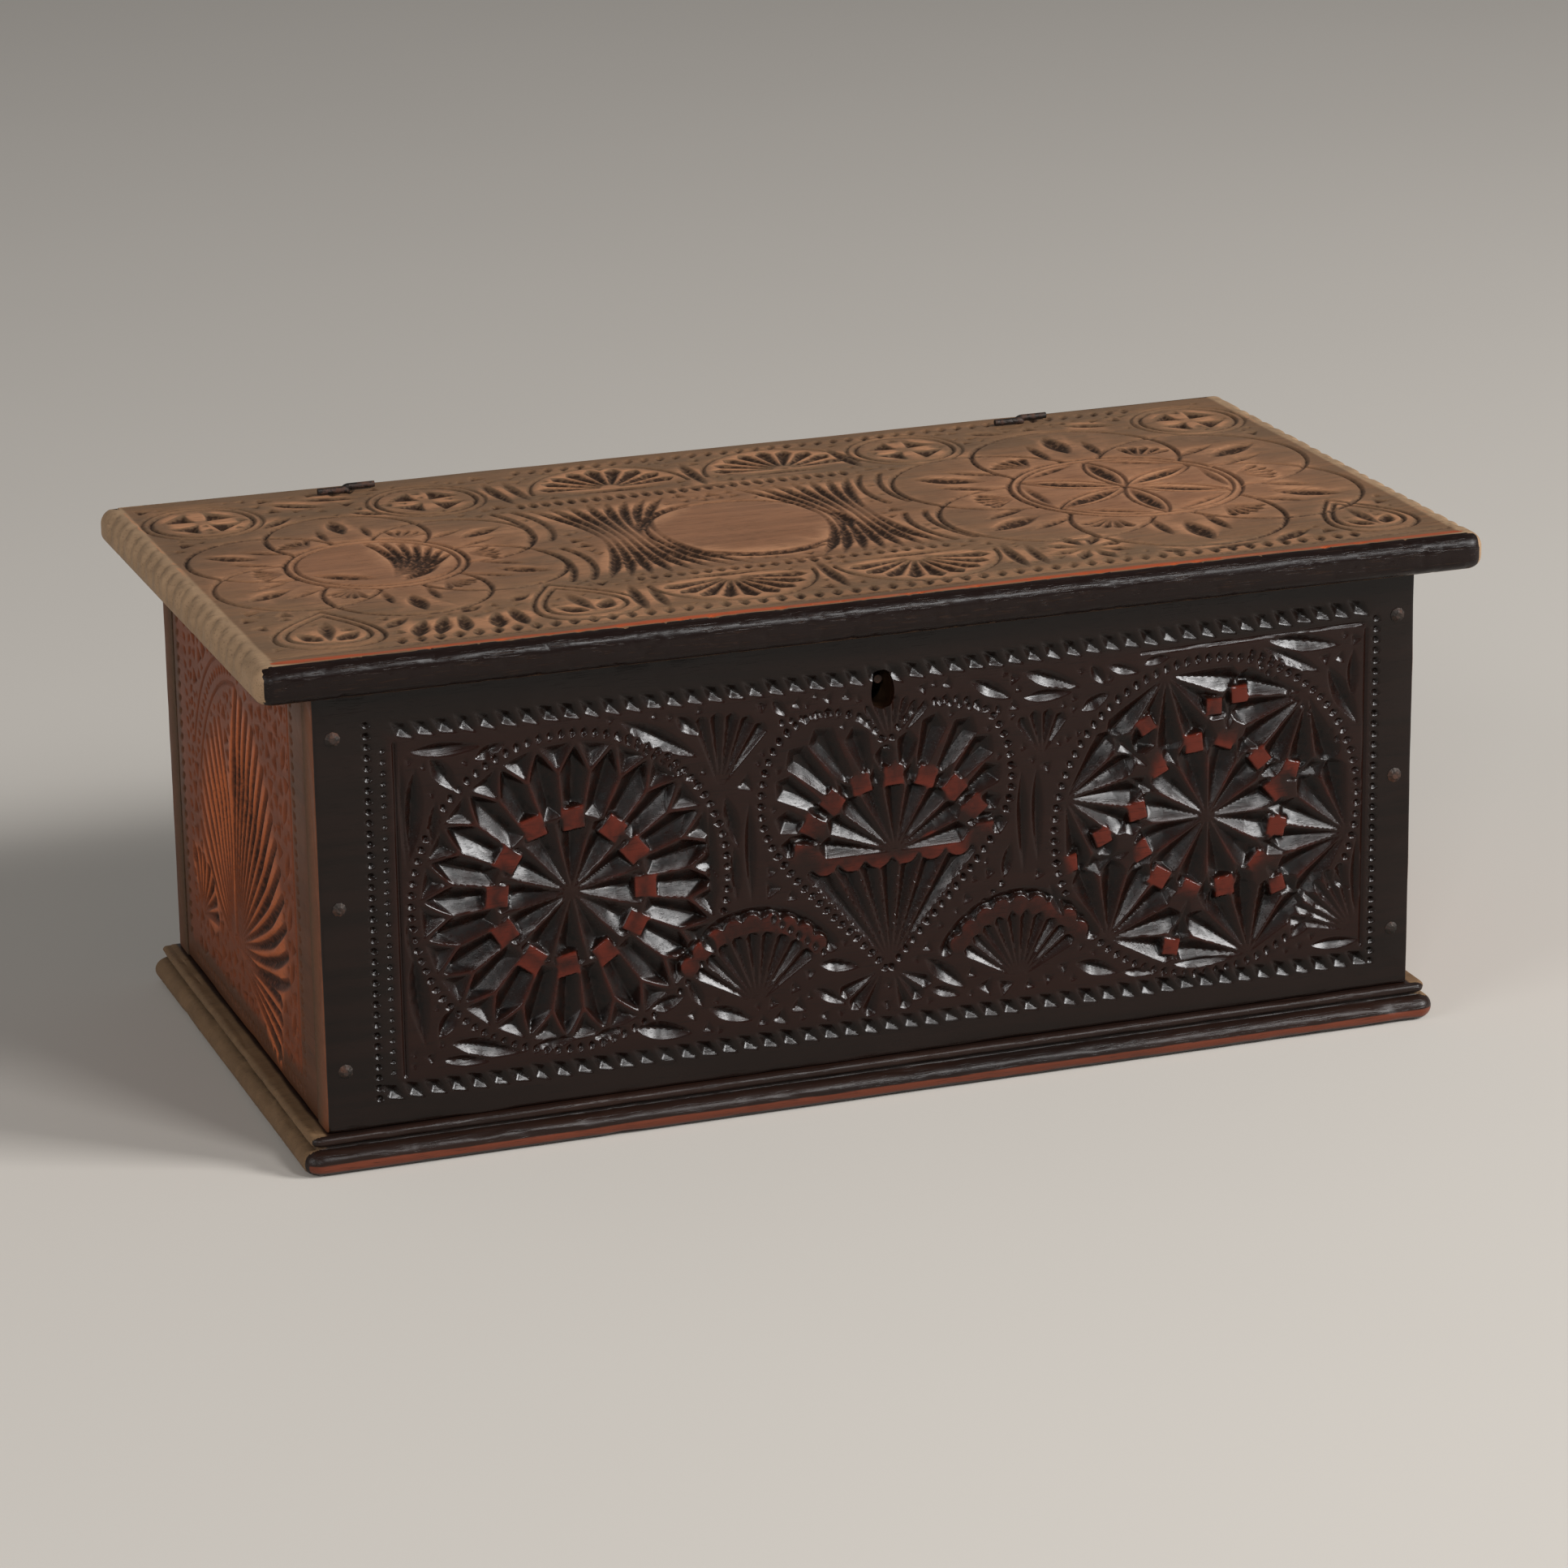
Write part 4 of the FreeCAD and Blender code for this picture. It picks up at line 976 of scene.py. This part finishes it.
def nail_tree():
    """Geometry Nodes that set a forged head and a short shank on each point, facing out along Z."""
    tree = bpy.data.node_groups.new("forged nails", "GeometryNodeTree")
    lengths = (
        ("Head Radius", 0.003), ("Head Height", 0.0012),
        ("Shank Radius", 0.0014), ("Shank Length", 0.006),
    )
    tree.interface.new_socket("Places", in_out="INPUT", socket_type="NodeSocketGeometry")
    for name, value in lengths:
        socket = tree.interface.new_socket(name, in_out="INPUT", socket_type="NodeSocketFloat")
        socket.default_value = value
    tree.interface.new_socket("Turn", in_out="INPUT", socket_type="NodeSocketRotation")
    tree.interface.new_socket("Finish", in_out="INPUT", socket_type="NodeSocketMaterial")
    tree.interface.new_socket("Nails", in_out="OUTPUT", socket_type="NodeSocketGeometry")
    nodes = Nodes(tree)
    given = nodes.add("NodeGroupInput").outputs
    made = nodes.add("NodeGroupOutput").inputs

    def seeded(low, high, seed):
        node = nodes.add("FunctionNodeRandomValue", data_type="FLOAT")
        node.inputs[2].default_value = low
        node.inputs[3].default_value = high
        node.inputs["Seed"].default_value = seed
        return node.outputs[1]

    head = nodes.place("GeometryNodeMeshCone", {
        "Vertices": 9,
        "Side Segments": 3,
        "Radius Top": nodes.math("MULTIPLY", given["Head Radius"], 0.42),
        "Radius Bottom": given["Head Radius"],
        "Depth": given["Head Height"],
    }, fill_type="NGON")
    shank = nodes.place("GeometryNodeMeshCone", {
        "Vertices": 4,
        "Radius Top": given["Shank Radius"],
        "Radius Bottom": 0.0006,
        "Depth": given["Shank Length"],
    }, fill_type="NGON")
    drop = nodes.place("ShaderNodeCombineXYZ", {"Z": nodes.math("MULTIPLY", given["Shank Length"], -1.0)})
    lower = nodes.place("GeometryNodeTransform", {
        "Geometry": shank.outputs["Mesh"],
        "Translation": drop.outputs["Vector"],
    })
    joined = nodes.add("GeometryNodeJoinGeometry")
    nodes.join(head.outputs["Mesh"], joined.inputs["Geometry"])
    nodes.join(lower.outputs["Geometry"], joined.inputs["Geometry"])
    placed = nodes.place("GeometryNodeInstanceOnPoints", {
        "Points": given["Places"],
        "Instance": joined.outputs["Geometry"],
        "Rotation": given["Turn"],
        "Scale": seeded(0.86, 1.0, SEED),
    })
    own_turn = nodes.place("ShaderNodeCombineXYZ", {"Z": seeded(0.0, 6.28, SEED + 1)})
    turned = nodes.place("GeometryNodeRotateInstances", {
        "Instances": placed.outputs["Instances"],
        "Rotation": own_turn.outputs["Vector"],
    })
    real = nodes.place("GeometryNodeRealizeInstances", {"Geometry": turned.outputs["Instances"]})
    painted = nodes.place("GeometryNodeSetMaterial", {
        "Geometry": real.outputs["Geometry"],
        "Material": given["Finish"],
    })
    nodes.join(painted.outputs["Geometry"], made["Nails"])
    return tree


def make_nails(name, tree, places, turn, radius, height, finish):
    """One piece of forged nails at some places, all facing the way that turn gives."""
    mesh = bpy.data.meshes.new(name)
    mesh.from_pydata([tuple(np.array(place) * MM) for place in places], [], [])
    piece = add_object(name, mesh)
    modifier = piece.modifiers.new("nails", "NODES")
    modifier.node_group = tree
    wanted = {
        "Head Radius": radius * MM,
        "Head Height": height * MM,
        "Turn": turn,
        "Finish": finish,
    }
    for item in tree.interface.items_tree:
        if item.item_type == "SOCKET" and item.in_out == "INPUT" and item.name in wanted:
            modifier[item.identifier] = wanted[item.name]
    return apply_modifiers(piece)


# Finishes

class Nodes:
    """Short ways to set out the nodes of one tree."""

    def __init__(self, tree):
        self.tree = tree

    def add(self, kind, **settings):
        node = self.tree.nodes.new(kind)
        for name, value in settings.items():
            setattr(node, name, value)
        return node

    def join(self, source, target):
        self.tree.links.new(source, target)

    def feed(self, socket, value):
        """Links a socket to another, or sets it to a value."""
        if isinstance(value, bpy.types.NodeSocket):
            self.join(value, socket)
        else:
            socket.default_value = value

    def place(self, kind, sockets, **settings):
        """A node with its inputs linked or set."""
        node = self.add(kind, **settings)
        for name, value in sockets.items():
            self.feed(node.inputs[name], value)
        return node

    def math(self, operation, first, second=0.0, clamp=False):
        node = self.add("ShaderNodeMath", operation=operation, use_clamp=clamp)
        self.feed(node.inputs[0], first)
        self.feed(node.inputs[1], second)
        return node.outputs[0]

    def ramp(self, value, low, high):
        """0 below low, 1 above high."""
        node = self.add("ShaderNodeMapRange", interpolation_type="SMOOTHSTEP")
        self.feed(node.inputs["Value"], value)
        self.feed(node.inputs["From Min"], low)
        self.feed(node.inputs["From Max"], high)
        return node.outputs["Result"]

    def field(self, name):
        """A number painted on the piece's points."""
        return self.add("ShaderNodeAttribute", attribute_name=name).outputs["Fac"]

    def blend(self, share, first, second):
        """A colour between two others."""
        node = self.add("ShaderNodeMix", data_type="RGBA")
        self.feed(node.inputs[0], share)
        self.feed(node.inputs[6], first)
        self.feed(node.inputs[7], second)
        return node.outputs[2]

    def noise(self, vector, scale, detail=4.0, roughness=0.55, distortion=0.0):
        node = self.add("ShaderNodeTexNoise")
        self.feed(node.inputs["Vector"], vector)
        self.feed(node.inputs["Scale"], scale)
        node.inputs["Detail"].default_value = detail
        node.inputs["Roughness"].default_value = roughness
        node.inputs["Distortion"].default_value = distortion
        return node.outputs["Fac"]

    def stretch(self, vector, scale):
        node = self.add("ShaderNodeVectorMath", operation="MULTIPLY")
        self.feed(node.inputs[0], vector)
        self.feed(node.inputs[1], scale)
        return node.outputs[0]


def new_group(name, inputs, outputs):
    """An empty shader group with named sockets, and short ways to fill it."""
    tree = bpy.data.node_groups.new(name, "ShaderNodeTree")
    for label, kind, value in inputs:
        socket = tree.interface.new_socket(label, in_out="INPUT", socket_type=kind)
        socket.default_value = value
    for label, kind in outputs:
        tree.interface.new_socket(label, in_out="OUTPUT", socket_type=kind)
    given = tree.nodes.new("NodeGroupInput")
    made = tree.nodes.new("NodeGroupOutput")
    return Nodes(tree), given.outputs, made.inputs


FLOAT = "NodeSocketFloat"
VECTOR = "NodeSocketVector"


def grain_group():
    """Long fibres, pores and broad figure of a sawn board. Stretch is small along the fibres."""
    nodes, given, made = new_group(
        "board grain",
        (
            ("Vector", VECTOR, (0, 0, 0)), ("Stretch", VECTOR, (6, 90, 90)),
            ("Figure Scale", FLOAT, 1.0), ("Fibre Scale", FLOAT, 9.0),
        ),
        (("Figure", FLOAT), ("Fibres", FLOAT), ("Pores", FLOAT)),
    )
    along = nodes.stretch(given["Vector"], given["Stretch"])
    figure = nodes.noise(along, given["Figure Scale"], 3.0, 0.5, 1.2)
    fibres = nodes.noise(along, given["Fibre Scale"], 5.0, 0.6, 0.3)
    pores = nodes.noise(along, nodes.math("MULTIPLY", given["Fibre Scale"], 2.3), 2.0, 0.5)
    nodes.join(figure, made["Figure"])
    nodes.join(fibres, made["Fibres"])
    nodes.join(nodes.ramp(pores, 0.56, 0.72), made["Pores"])
    return nodes.tree


def wear_group():
    """Where the finish is rubbed through on high places, and where the cuts are darkened by their depth: old
    wax and grime, with painted shade in the recesses.
    """
    nodes, given, made = new_group(
        "rubbed and soiled",
        (
            ("Vector", VECTOR, (0, 0, 0)), ("Worn", FLOAT, 0.0), ("Cut", FLOAT, 0.0),
            ("Rub", FLOAT, 1.0), ("Soil", FLOAT, 1.0), ("Patch Scale", FLOAT, 28.0),
        ),
        (("Rubbed", FLOAT), ("Soiled", FLOAT), ("Patches", FLOAT)),
    )
    patches = nodes.noise(given["Vector"], given["Patch Scale"], 4.0, 0.6)
    specks = nodes.noise(given["Vector"], 420.0, 3.0, 0.6)
    speckled = nodes.math("ADD", patches, nodes.math("MULTIPLY", specks, 0.6))
    broken = nodes.math("MULTIPLY", given["Worn"], speckled)
    rubbed = nodes.math("MULTIPLY", nodes.ramp(broken, 0.12, 0.62), given["Rub"], True)
    # Painted shade with grime: the deeper a cut, the darker its colour is made.
    deep = nodes.ramp(given["Cut"], 0.12, 0.95)
    cut_grime_and_shade = nodes.math("MULTIPLY", deep, nodes.ramp(specks, 0.1, 0.75))
    grime_and_shade = nodes.math("MULTIPLY", cut_grime_and_shade, given["Soil"], True)
    nodes.join(rubbed, made["Rubbed"])
    nodes.join(grime_and_shade, made["Soiled"])
    nodes.join(patches, made["Patches"])
    return nodes.tree


def knock_group():
    """Small dents and scratches as a height."""
    nodes, given, made = new_group(
        "knocks and scratches",
        (("Vector", VECTOR, (0, 0, 0)), ("Dent Scale", FLOAT, 120.0), ("Amount", FLOAT, 1.0)),
        (("Height", FLOAT),),
    )
    dents = nodes.ramp(nodes.noise(given["Vector"], given["Dent Scale"], 2.0, 0.5), 0.3, 0.5)
    scores = nodes.noise(nodes.stretch(given["Vector"], (90.0, 1100.0, 700.0)), 1.0, 2.0, 0.5)
    height = nodes.math("ADD", dents, nodes.math("MULTIPLY", nodes.ramp(scores, 0.62, 0.7), -0.5))
    nodes.join(nodes.math("MULTIPLY", height, given["Amount"]), made["Height"])
    return nodes.tree


def srgb(red, green, blue):
    """A colour written as it looks on screen, 0 to 255."""
    linear = []
    for part in (red, green, blue):
        part /= 255
        linear.append(part / 12.92 if part <= 0.04045 else ((part + 0.055) / 1.055) ** 2.4)
    return (*linear, 1.0)


def use_group(nodes, tree, **values):
    """Places a shader group in a material with its own values."""
    node = nodes.add("ShaderNodeGroup", node_tree=tree)
    for name, value in values.items():
        nodes.feed(node.inputs[name.replace("_", " ")], value)
    return node.outputs


def wood_finish(
    name, groups, stretch, colours, rough, overlays, rub=1.0, grime_shade_strength=1.0, specular=0.2, bump=0.35,
):
    """An old board. Colours are ground, figure, rubbed, the dark of grime and painted shade in the cuts, and
    inner.

    Each overlay names a field, its colour, the two levels between which it comes in, how ragged its
    border is and how much rougher it is.
    """
    ground, figured, rubbed, grime_and_shade, inner = colours
    material = bpy.data.materials.new(name)
    material.use_nodes = True
    nodes = Nodes(material.node_tree)
    shader = material.node_tree.nodes["Principled BSDF"]
    place = nodes.add("ShaderNodeTexCoord").outputs["Object"]
    grain = use_group(nodes, groups["grain"], Vector=place, Stretch=stretch)
    wear = use_group(
        nodes, groups["wear"], Vector=place, Rub=rub, Soil=grime_shade_strength,
        Worn=nodes.field("worn"), Cut=nodes.field("cut"),
    )
    knocks = use_group(nodes, groups["knocks"], Vector=place)
    uneven = nodes.math("SUBTRACT", wear["Patches"], 0.5)
    figure = nodes.ramp(grain["Figure"], 0.3, 0.7)
    colour = nodes.blend(figure, ground, figured)
    roughness = nodes.math("ADD", rough, nodes.math("MULTIPLY", uneven, 0.25))
    for field, tint, low, high, ragged, rougher in overlays:
        level = nodes.math("ADD", nodes.field(field), nodes.math("MULTIPLY", uneven, ragged))
        share = nodes.ramp(level, low, high)
        streak = tuple(part * 1.25 for part in tint[:3]) + (1.0,)
        streaky = nodes.blend(figure, tint, streak)
        colour = nodes.blend(share, colour, streaky)
        roughness = nodes.math("ADD", roughness, nodes.math("MULTIPLY", share, rougher))
    colour = nodes.blend(wear["Rubbed"], colour, rubbed)
    # Cuts take the dark colour by their depth: grime and painted shade.
    colour = nodes.blend(wear["Soiled"], colour, grime_and_shade)
    colour = nodes.blend(nodes.math("MULTIPLY", grain["Pores"], 0.4), colour, grime_and_shade)
    inward = nodes.field("inner")
    colour = nodes.blend(inward, colour, nodes.blend(grain["Fibres"], inner, grime_and_shade))
    nodes.join(colour, shader.inputs["Base Color"])
    roughness = nodes.math("ADD", roughness, nodes.math("MULTIPLY", wear["Soiled"], 0.1))
    roughness = nodes.math("ADD", roughness, nodes.math("MULTIPLY", inward, 0.3), True)
    nodes.join(roughness, shader.inputs["Roughness"])
    shader.inputs["Specular IOR Level"].default_value = specular
    fibres = nodes.math("MULTIPLY", grain["Fibres"], 0.6)
    height = nodes.math("ADD", fibres, nodes.math("MULTIPLY", grain["Pores"], -0.5))
    height = nodes.math("ADD", height, nodes.math("MULTIPLY", knocks["Height"], 0.4))
    relief = nodes.add("ShaderNodeBump")
    relief.inputs["Strength"].default_value = bump
    relief.inputs["Distance"].default_value = 0.0004
    nodes.join(height, relief.inputs["Height"])
    nodes.join(relief.outputs["Normal"], shader.inputs["Normal"])
    return material


def iron_finish(name, groups, ground, rust, metal=0.85, rough=0.55):
    """Old forged iron, dark with a little rust."""
    material = bpy.data.materials.new(name)
    material.use_nodes = True
    nodes = Nodes(material.node_tree)
    shader = material.node_tree.nodes["Principled BSDF"]
    place = nodes.add("ShaderNodeTexCoord").outputs["Object"]
    wear = use_group(nodes, groups["wear"], Vector=place, Patch_Scale=140.0)
    knocks = use_group(nodes, groups["knocks"], Vector=place, Dent_Scale=420.0)
    scale = nodes.noise(place, 700.0, 4.0, 0.65)
    rusted = nodes.ramp(nodes.math("ADD", wear["Patches"], nodes.math("MULTIPLY", scale, 0.4)), 0.66, 0.9)
    nodes.join(nodes.blend(rusted, ground, rust), shader.inputs["Base Color"])
    bright = nodes.math("SUBTRACT", metal, nodes.math("MULTIPLY", rusted, 0.6), True)
    nodes.join(bright, shader.inputs["Metallic"])
    nodes.join(nodes.math("ADD", rough, nodes.math("MULTIPLY", rusted, 0.25)), shader.inputs["Roughness"])
    relief = nodes.add("ShaderNodeBump")
    relief.inputs["Strength"].default_value = 0.5
    relief.inputs["Distance"].default_value = 0.0003
    nodes.join(nodes.math("ADD", knocks["Height"], scale), relief.inputs["Height"])
    nodes.join(relief.outputs["Normal"], shader.inputs["Normal"])
    return material


def make_finishes():
    """Every finish of the box, by its plain name."""
    groups = {"grain": grain_group(), "wear": wear_group(), "knocks": knock_group()}
    lengthwise = (6.0, 90.0, 90.0)
    crosswise = (90.0, 6.0, 90.0)
    bare = srgb(104, 78, 56)
    # The fourth colour of each wood is the dark of grime and painted shade in its cuts.
    return {
        "front": wood_finish(
            "dark waxed front", groups, lengthwise,
            (srgb(16, 8, 5), srgb(23, 12, 8), srgb(80, 26, 14), srgb(6, 3, 2), bare), 0.24,
            (
                ("panel", srgb(25, 9, 5), 0.2, 0.8, 0.3, 0.0),
                ("end_grain", srgb(108, 62, 38), 0.4, 0.6, 0.0, 0.2),
            ),
            specular=0.25, bump=0.14,
        ),
        "end": wood_finish(
            "rubbed end boards", groups, crosswise,
            (srgb(76, 46, 28), srgb(90, 53, 32), srgb(170, 90, 50), srgb(40, 18, 8), bare), 0.46,
            (("panel", srgb(102, 51, 27), 0.2, 0.8, 0.5, 0.0),),
            rub=1.6, grime_shade_strength=1.3,
        ),
        "plain": wood_finish(
            "plain dark boards", groups, lengthwise,
            (srgb(24, 15, 12), srgb(36, 21, 15), srgb(96, 52, 34), srgb(12, 8, 6), bare), 0.34,
            (
                ("arris", srgb(92, 44, 28), 0.45, 0.75, 0.9, 0.05),
                ("dusty", srgb(106, 82, 58), 0.3, 0.6, 0.5, 0.3),
                ("end_grain", srgb(96, 60, 40), 0.4, 0.6, 0.0, 0.2),
            ),
            specular=0.24,
        ),
        "lid": wood_finish(
            "dry worn lid", groups, lengthwise,
            (srgb(107, 83, 62), srgb(120, 89, 64), srgb(164, 118, 86), srgb(46, 29, 18), bare), 0.52,
            (
                ("handled", srgb(130, 90, 64), 0.0, 1.2, 0.5, -0.06),
                ("dusty", srgb(140, 114, 88), 0.3, 0.7, 0.4, 0.1),
                ("front_edge", srgb(18, 9, 7), 0.3, 0.4, 0.1, -0.24),
                ("arris", srgb(150, 66, 32), 0.5, 0.9, 0.9, -0.15),
            ),
            rub=1.6, grime_shade_strength=1.5,
        ),
        "iron": iron_finish("old forged iron", groups, srgb(52, 47, 44), srgb(74, 46, 32)),
    }


# The box

finishes = make_finishes()
front = make_front()
back = make_back()
left_end = make_end("carved_left_end", LEFT_LOW[0], 1)
right_end = make_end("carved_right_end", RIGHT_HIGH[0], -1)
lid = make_lid()
base = make_base()

for piece, body, node, finish, slot in (
    (front, "case", "front_board", "front", "front_wood"),
    (back, "case", "back_board", "plain", "plain_wood"),
    (left_end, "case", "left_end_board", "end", "end_wood"),
    (right_end, "case", "right_end_board", "end", "end_wood"),
    (lid, "lid", "lid_board", "lid", "lid_wood"),
    (base, "case", "bottom_board", "plain", "plain_wood"),
):
    crisp(piece, 28)
    piece.data.materials.clear()
    piece.data.materials.append(finishes[finish])
    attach(piece, body)
    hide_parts(node)

nail_heights = [CASE_BOTTOM + CASE_HEIGHT * share for share in NAIL_SHARES]
nails = nail_tree()
for name, node, face, turn in (
    ("front_nails", "front_corner_nails", FRONT_FACE, math.pi / 2),
    ("back_nails", "back_corner_nails", BACK_FACE, -math.pi / 2),
):
    spots = [(side * NAIL_COLUMN, face, height) for side in (-1, 1) for height in nail_heights]
    piece = make_nails(name, nails, spots, (turn, 0.0, 0.0), 2.9, 1.2, finishes["iron"])
    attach(piece, "case")
    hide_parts(node)

wooden = {"front_board", "back_board", "left_end_board", "right_end_board", "lid_board", "bottom_board"}
for name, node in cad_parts.items():
    if name not in wooden:
        node.data.materials.clear()
        node.data.materials.append(finishes["iron"])


# The studio

LAMP_TARGET = (0, 0, 0.1)


def studio_plain(name, colour):
    """A matt pale surface with a very slight unevenness."""
    material = bpy.data.materials.new(name)
    material.use_nodes = True
    nodes = Nodes(material.node_tree)
    shader = material.node_tree.nodes["Principled BSDF"]
    place = nodes.add("ShaderNodeTexCoord").outputs["Object"]
    shade = nodes.noise(place, 3.0, 2.0)
    darker = tuple(part * 0.97 for part in colour[:3]) + (1.0,)
    nodes.join(nodes.blend(shade, colour, darker), shader.inputs["Base Color"])
    shader.inputs["Roughness"].default_value = 0.9
    return material


def add_floor():
    """A pale floor under the box."""
    mesh = bpy.data.meshes.new("floor")
    half = 6.0
    corners = [(-half, -half, 0), (half, -half, 0), (half, half, 0), (-half, half, 0)]
    mesh.from_pydata(corners, [], [(0, 1, 2, 3)])
    floor = add_object("floor", mesh)
    mesh.materials.append(studio_plain("pale floor", srgb(196, 190, 182)))


def add_softbox(name, place, width, glow):
    """A square lamp of a given glow at a place, turned to the middle of the box."""
    lamp = bpy.data.lights.new(name, "AREA")
    lamp.shape = "RECTANGLE"
    lamp.size = width
    lamp.size_y = width
    lamp.energy = glow * math.pi * width * width
    holder = bpy.data.objects.new(name, lamp)
    bpy.context.scene.collection.objects.link(holder)
    away = Vector(place) - Vector(LAMP_TARGET)
    holder.matrix_world = Matrix.Translation(place) @ away.to_track_quat("Z", "Y").to_matrix().to_4x4()


def add_world(strength):
    """Soft light from all round, pale where the camera sees it."""
    world = bpy.data.worlds.new("studio air")
    bpy.context.scene.world = world
    world.use_nodes = True
    nodes = Nodes(world.node_tree)
    background = world.node_tree.nodes["Background"]
    background.inputs["Color"].default_value = (1, 1, 1, 1)
    seen = nodes.add("ShaderNodeLightPath")
    backdrop = nodes.math("MULTIPLY", seen.outputs["Is Camera Ray"], 0.95)
    nodes.join(nodes.math("MAXIMUM", backdrop, strength), background.inputs["Strength"])


def add_camera():
    """The camera at the photograph's place: azimuth, elevation and a slight roll."""
    azimuth, elevation, roll = (math.radians(angle) for angle in (-19.63, 17.72, -0.84))
    level = math.cos(elevation)
    back = Vector((math.sin(azimuth) * level, -math.cos(azimuth) * level, math.sin(elevation)))
    right = Vector((math.cos(azimuth), math.sin(azimuth), 0.0))
    up = back.cross(right)
    across = right * math.cos(roll) + up * math.sin(roll)
    above = up * math.cos(roll) - right * math.sin(roll)
    turn = Matrix((across, above, back)).transposed().to_4x4()
    camera = bpy.data.cameras.new("camera")
    camera.sensor_width = 36.0
    camera.lens = 124.76
    camera.shift_y = -2.5 / 1932
    holder = bpy.data.objects.new("camera", camera)
    bpy.context.scene.collection.objects.link(holder)
    holder.matrix_world = Matrix.Translation((-0.6542, -1.8342, 0.7094)) @ turn
    bpy.context.scene.camera = holder


add_floor()
add_softbox("key lamp", (2.8, -2.0, 1.9), 1.1, 40.0)
add_softbox("high lamp", (1.3, -2.75, 2.7), 0.8, 26.0)
add_softbox("near lamp", (-1.25, -2.75, 1.45), 0.6, 15.0)
add_softbox("fill lamp", (-3.4, -1.2, 1.6), 2.0, 3.4)
add_world(0.16)
add_camera()
bpy.context.scene.view_settings.view_transform = "Standard"
